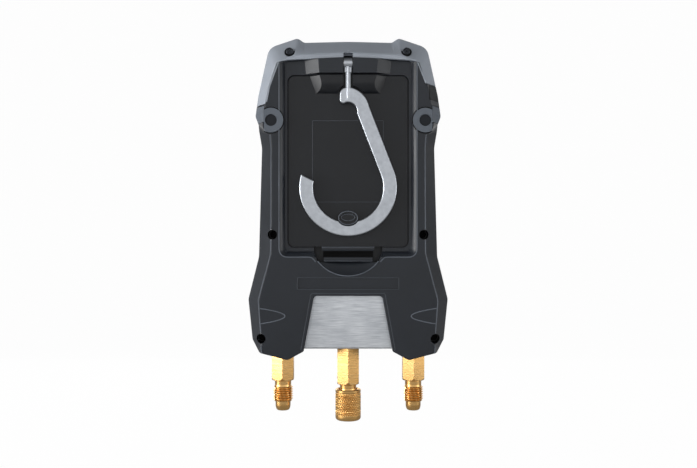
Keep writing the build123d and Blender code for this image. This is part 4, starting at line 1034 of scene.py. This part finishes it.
# ---- brass connections
@dataclass
class ThreadedPort:
    """Flare connection: hexagon, neck, rolled thread and rounded nose, with its bore.

    Attributes:
        node: Solid that the piece stands for.
        across: Width across the hexagon's flats.
        hex_length: Length of the hexagon below the block.
        turned: Height of the rounded end of the hexagon.
        neck: Radius and length of the neck.
        thread: Outer radius and length of the thread.
        pitch: Pitch of the thread.
        thread_depth: Depth of the thread.
        nose_r: Radius of the nose.
        bore_r: Radius of the bore.
        columns: Points once round, a multiple of 6.
    """

    node: str
    hex_length: float
    across: float = 12.0 * MM
    turned: float = 1.9 * MM
    neck: Pair = (4.55 * MM, 2.9 * MM)
    thread: Pair = (5.556 * MM, 8.7 * MM)
    pitch: float = 1.27 * MM
    thread_depth: float = 0.8 * MM
    nose_r: float = 4.2 * MM
    bore_r: float = 2.2 * MM
    columns: int = 120

    def make(self, box: Paintbox) -> Solid:
        """Builds the connection.

        Radius at angle t and height z: in the hexagon, the smaller of
        a / cos(t folded into one flat) and the turned end's quarter ellipse; in the thread,
        root + depth * wave(z / pitch + t / 2 pi), which fades in and out at both ends.

        Args:
            box: Where materials come from.

        Returns:
            The piece, which replaces its solid.
        """
        centre, foot, _ = axis_of(self.node)
        block_foot = axis_of("valve_block")[1]
        turn = around(self.columns)[None, :]
        hex_end = block_foot - self.hex_length
        neck_end = hex_end - self.neck[1]
        thread_end = neck_end - self.thread[1]
        heights = stations((block_foot + 2 * MM, 16), (block_foot - self.turned, 8),
                           (hex_end + self.turned, 14), (hex_end, 8), (neck_end, 96),
                           (thread_end, 22), (foot, 1))
        z = heights[:, None]
        radius = np.where(z > hex_end, self.hexagon(turn, z, block_foot, hex_end),
                          np.where(z > thread_end, self.shank(turn, z, neck_end, thread_end),
                                   self.nose(z, thread_end, foot)))
        bore_top = block_foot + 1.5 * MM
        bore_z = np.array([foot, foot + 0.4 * MM, bore_top, bore_top])
        bore = np.array([self.bore_r + 0.4 * MM, self.bore_r, self.bore_r, 0.0])[:, None]
        surface = Surface()
        surface.grid(spun(centre, turn, (heights[:1], 0.0), (heights, radius), (bore_z, bore)))
        piece = surface.make(f"{self.node}_turned", Finish.port_brass, box, "root", "port_brass")
        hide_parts(self.node)
        return piece

    def hexagon(self, turn: np.ndarray, z: np.ndarray, top: float, foot: float) -> np.ndarray:
        """Radius in the hexagon, cut by the turned ends.

        Args:
            turn: Angles.
            z: Heights.
            top: Height of the block's underside.
            foot: Height of the hexagon's end.

        Returns:
            Radius for each height and angle.
        """
        sixth = math.pi / 3
        folded = np.mod(turn + sixth / 2, sixth) - sixth / 2
        flats = self.across / 2 / np.cos(folded)
        corner = self.across / math.sqrt(3)
        start = self.across / 2 * 0.8
        near_foot = np.clip((z - foot) / self.turned, 0, 1)
        near_top = np.clip((top - z) / self.turned, 0, 1)
        share = np.minimum(near_foot, near_top)
        turned = start + (corner - start) * np.sqrt(1 - (1 - share) ** 2)
        return np.minimum(flats, turned)

    def shank(self, turn: np.ndarray, z: np.ndarray, start: float, end: float) -> np.ndarray:
        """Radius of the neck and the thread.

        Args:
            turn: Angles.
            z: Heights.
            start: Height where the thread starts.
            end: Height where it ends.

        Returns:
            Radius for each height and angle.
        """
        root = self.thread[0] - self.thread_depth
        wave = np.clip(1.3 * zigzag(z / self.pitch + turn / FULL_TURN) - 0.12, 0, 1)
        shown = blend_up(start - z, 0.1 * MM, 1.0 * MM) * blend_up(z - end, 0.1 * MM, 0.9 * MM)
        core = np.where(z > start, self.neck[0], root)
        return core + self.thread_depth * wave * shown

    def nose(self, z: np.ndarray, start: float, end: float) -> np.ndarray:
        """Radius of the nose: straight for a third, then a quarter ellipse down to the bore."""
        straight = (start - end) / 3
        share = np.clip((start - straight - z) / (start - straight - end), 0, 1)
        tip = self.bore_r + 0.7 * MM
        return tip + (self.nose_r - tip) * np.sqrt(1 - share ** 2)


@dataclass
class KnurledCap:
    """Blanking cap of the middle connection: hollow, with a diamond knurl and a plain rim.

    Attributes:
        outer_r: Radius outside.
        mouth_r: Radius of the hollow.
        mouth_bevel: Width of the bevels at the mouth.
        wall_floor: Thickness of the closed end.
        rim: Length of the plain rim at the mouth.
        plain_end: Length of the plain closed end.
        round_end: Radius of the rounding at the closed end.
        diamonds: Knurl diamonds once round.
        diamond_height: Height of one diamond.
        knurl_depth: Depth of the knurl.
    """

    outer_r: float = 7.1 * MM
    mouth_r: float = 5.75 * MM
    mouth_bevel: float = 0.45 * MM
    wall_floor: float = 2.0 * MM
    rim: float = 2.2 * MM
    plain_end: float = 3.0 * MM
    round_end: float = 1.7 * MM
    diamonds: int = 34
    diamond_height: float = 1.95 * MM
    knurl_depth: float = 0.42 * MM

    def make(self, box: Paintbox) -> Solid:
        """Builds the cap.

        In the knurl the radius is R - d g, where g is the deeper of two families of V
        grooves, g = max(w(n t / 2 pi + z / h), w(n t / 2 pi - z / h)) and w is narrow.

        Args:
            box: Where materials come from.

        Returns:
            The piece, which replaces the cap's solid.
        """
        centre, foot, top = axis_of("port_cap")
        turn = around(self.diamonds * 10)[None, :]
        knurl_top, knurl_foot = top - self.rim, foot + self.plain_end
        arc = np.linspace(0, math.pi / 2, 9)[1:]
        end_z = foot + self.round_end * (1 - np.sin(arc))
        end_r = self.outer_r - self.round_end * (1 - np.cos(arc))
        mouth = self.mouth_bevel
        heights = np.concatenate([
            [top, top - mouth],
            np.linspace(top - mouth, knurl_foot - 0.2 * MM, 84)[1:],
            [foot + self.round_end], end_z,
        ])
        base = np.concatenate([
            [self.outer_r - mouth], np.full(len(heights) - len(end_z) - 1, self.outer_r), end_r,
        ])[:, None]
        z = heights[:, None]
        across = self.diamonds * turn / FULL_TURN
        along = z / self.diamond_height
        groove = np.maximum(zigzag(across + along), zigzag(across - along))
        groove = np.clip(2.4 * groove - 1.4, 0, 1)
        shown = blend_up(knurl_top - z, 0, 0.25 * MM) * blend_up(z - knurl_foot, 0, 0.25 * MM)
        ring = np.exp(-((z - knurl_top - 0.15 * MM) / (0.22 * MM)) ** 2)
        radius = base - self.knurl_depth * groove * shown - 0.25 * MM * ring
        floor = foot + self.wall_floor
        hollow_z = np.array([top, top - mouth, floor, floor])
        hollow = np.array([self.mouth_r + mouth, self.mouth_r, self.mouth_r, 0.0])[:, None]
        surface = Surface()
        surface.grid(spun(centre, turn, (np.array([foot]), 0.0), (heights[::-1], radius[::-1]),
                          (hollow_z, hollow)))
        piece = surface.make("port_cap_knurled", Finish.port_brass, box, "port_cap", "port_brass")
        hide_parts("port_cap")
        return piece


HEX_LENGTHS = {"fitting_low": 19.6, "fitting_high": 19.6, "fitting_service": 21.9}


# ---- studio
@dataclass(frozen=True)
class Softbox:
    """One soft lamp that looks at the middle of the product.

    Attributes:
        name: Lamp name.
        place: Its place in metres.
        size: Width and height in metres.
        level: Light that it adds to a surface that faces it, as a share of a written colour.
    """

    name: str
    place: Triple
    size: Pair
    level: float


@dataclass
class Studio:
    """Camera, pale floor and backdrop, soft lamps and world.

    Attributes:
        eye: Camera place.
        focal_pixels: Focal length in pixels.
        picture_width: Width of the picture in pixels.
        off_centre: Columns that the product's middle stands left of the picture's middle.
        sensor: Width of the camera's sensor in millimetres.
        aim: Point that the lamps look at.
        floor_z: Height of the floor.
        white_share: Share of plain white in what the camera sees of the stage.
        reflected: Brightness of the stage in reflections.
        surroundings: Strength of the world.
        boxes: The lamps.
    """

    eye: Triple = (0.0, -0.4956, -0.09214)
    focal_pixels: float = 918.19
    picture_width: int = 697
    off_centre: float = 0.4
    sensor: float = 36.0
    aim: Triple = (0.0, 0.02, -0.09)
    floor_z: float = -0.32
    white_share: float = 0.98
    reflected: float = 0.3
    surroundings: float = 0.15
    boxes: tuple[Softbox, ...] = (
        Softbox("key_left", (-1.0, -0.31, -0.05), (0.6, 0.45), 0.74),
        Softbox("side_right", (1.0, -0.3, -0.06), (0.5, 0.36), 0.18),
        Softbox("fill_left", (-0.8, -0.8, 0.15), (0.4, 0.7), 0.04),
        Softbox("fill_right", (0.85, -0.75, 0.1), (0.3, 0.7), 0.04),
        Softbox("wall_behind_camera", (0.0, -1.15, -0.05), (3.0, 2.2), 0.8),
        Softbox("wall_before_display", (0.0, 1.15, 0.0), (2.0, 1.5), 0.62),
        Softbox("display_key", (-0.4, 1.1, 0.4), (0.4, 0.4), 0.3),
    )

    def build(self) -> None:
        """Sets up the camera, the stage and the light."""
        self.camera()
        self.floor()
        self.world()
        for lamp in self.boxes:
            self.lamp(lamp)
        bpy.context.scene.view_settings.view_transform = "Standard"

    def camera(self) -> None:
        """Level camera in front of the battery side."""
        data = bpy.data.cameras.new("camera")
        data.sensor_width = self.sensor
        data.lens = self.focal_pixels / self.picture_width * self.sensor
        data.shift_x = self.off_centre / self.picture_width
        data.clip_start = 0.01
        holder = held("camera", data)
        holder.location = self.eye
        holder.rotation_euler = (math.pi / 2, 0, 0)
        bpy.context.scene.camera = holder

    def floor(self) -> None:
        """Floor that curves up into a backdrop on all sides.

        Ring i of the sheet stands at distance d_i and height h_i, where h rises as
        (d - d0)^2 once past the flat middle.
        """
        distance = np.linspace(0, 4.0, 40)
        height = self.floor_z + 1.6 * np.clip(distance - 2.2, 0, None) ** 2
        sheet = Surface()
        sheet.grid(spun((0.0, 0.0), around(64)[None, :], (height, distance[:, None])))
        mesh = sheet.mesh("stage_floor")
        mesh.shade_smooth()
        mesh.materials.append(self.white())
        held("stage_floor", mesh)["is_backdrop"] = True

    def white(self) -> bpy.types.Material:
        """Pale matt sheet, white to the camera and through glass, dimmer in reflections."""
        recipe = Recipe("stage_white")
        recipe.feed(Base_Color=shade(226, 228, 230), Roughness=0.9, Specular_IOR_Level=0.1)
        glow = recipe.node("ShaderNodeEmission")
        glow.inputs["Color"].default_value = (1, 1, 1, 1)
        path = recipe.node("ShaderNodeLightPath")
        camera, glossy, clear = (path.outputs[f"Is {ray} Ray"]
                                 for ray in ("Camera", "Glossy", "Transmission"))
        seen = recipe.add(recipe.add(glossy, camera, self.white_share), clear, 1.0)
        strength = recipe.add(recipe.add(camera, clear, 1.0), glossy, self.reflected)
        recipe.join(strength, glow.inputs["Strength"])
        mixer = recipe.node("ShaderNodeMixShader")
        output = next(n for n in recipe.tree.nodes if n.type == "OUTPUT_MATERIAL")
        recipe.join(seen, mixer.inputs["Fac"])
        recipe.join(recipe.shader.outputs["BSDF"], mixer.inputs[1])
        recipe.join(glow.outputs["Emission"], mixer.inputs[2])
        recipe.join(mixer.outputs["Shader"], output.inputs["Surface"])
        return recipe.material

    def world(self) -> None:
        """Even pale surroundings."""
        world = bpy.data.worlds.new("studio")
        world.use_nodes = True
        background = world.node_tree.nodes["Background"]
        background.inputs["Color"].default_value = (1, 1, 1, 1)
        background.inputs["Strength"].default_value = self.surroundings
        bpy.context.scene.world = world

    def lamp(self, lamp: Softbox) -> None:
        """Adds a lamp: power = level pi^2 d^2 lights a facing surface by its level.

        d is the lamp's distance from the point that it looks at.
        """
        data = bpy.data.lights.new(lamp.name, "AREA")
        data.shape = "RECTANGLE"
        data.size, data.size_y = lamp.size
        line = Vector(self.aim) - Vector(lamp.place)
        data.energy = lamp.level * math.pi ** 2 * line.length_squared
        holder = held(lamp.name, data)
        holder.location = lamp.place
        holder.rotation_euler = line.to_track_quat("-Z", "Y").to_euler()


def write_sizes() -> None:
    """Writes the boxes of the solids and of the dressed model."""
    boxes = {"cad": cad_box, "visual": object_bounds()}
    plain = {name: [[float(v) for v in corner] for corner in box] for name, box in boxes.items()}
    LOG.info("sizes %s", plain)


def main() -> None:
    """Builds the studio and dresses the product, sub-assembly by sub-assembly."""
    logging.basicConfig(level=logging.INFO, format="%(message)s")
    Studio().build()
    box = Paintbox()
    box.dress_solids()
    for node, hexagon in HEX_LENGTHS.items():
        ThreadedPort(node, hexagon * MM).make(box)
    KnurledCap().make(box)
    HousingTrim().build(box)
    Display().build(box)
    Controls().build(box)
    write_sizes()


if __name__ == "__main__":
    main()
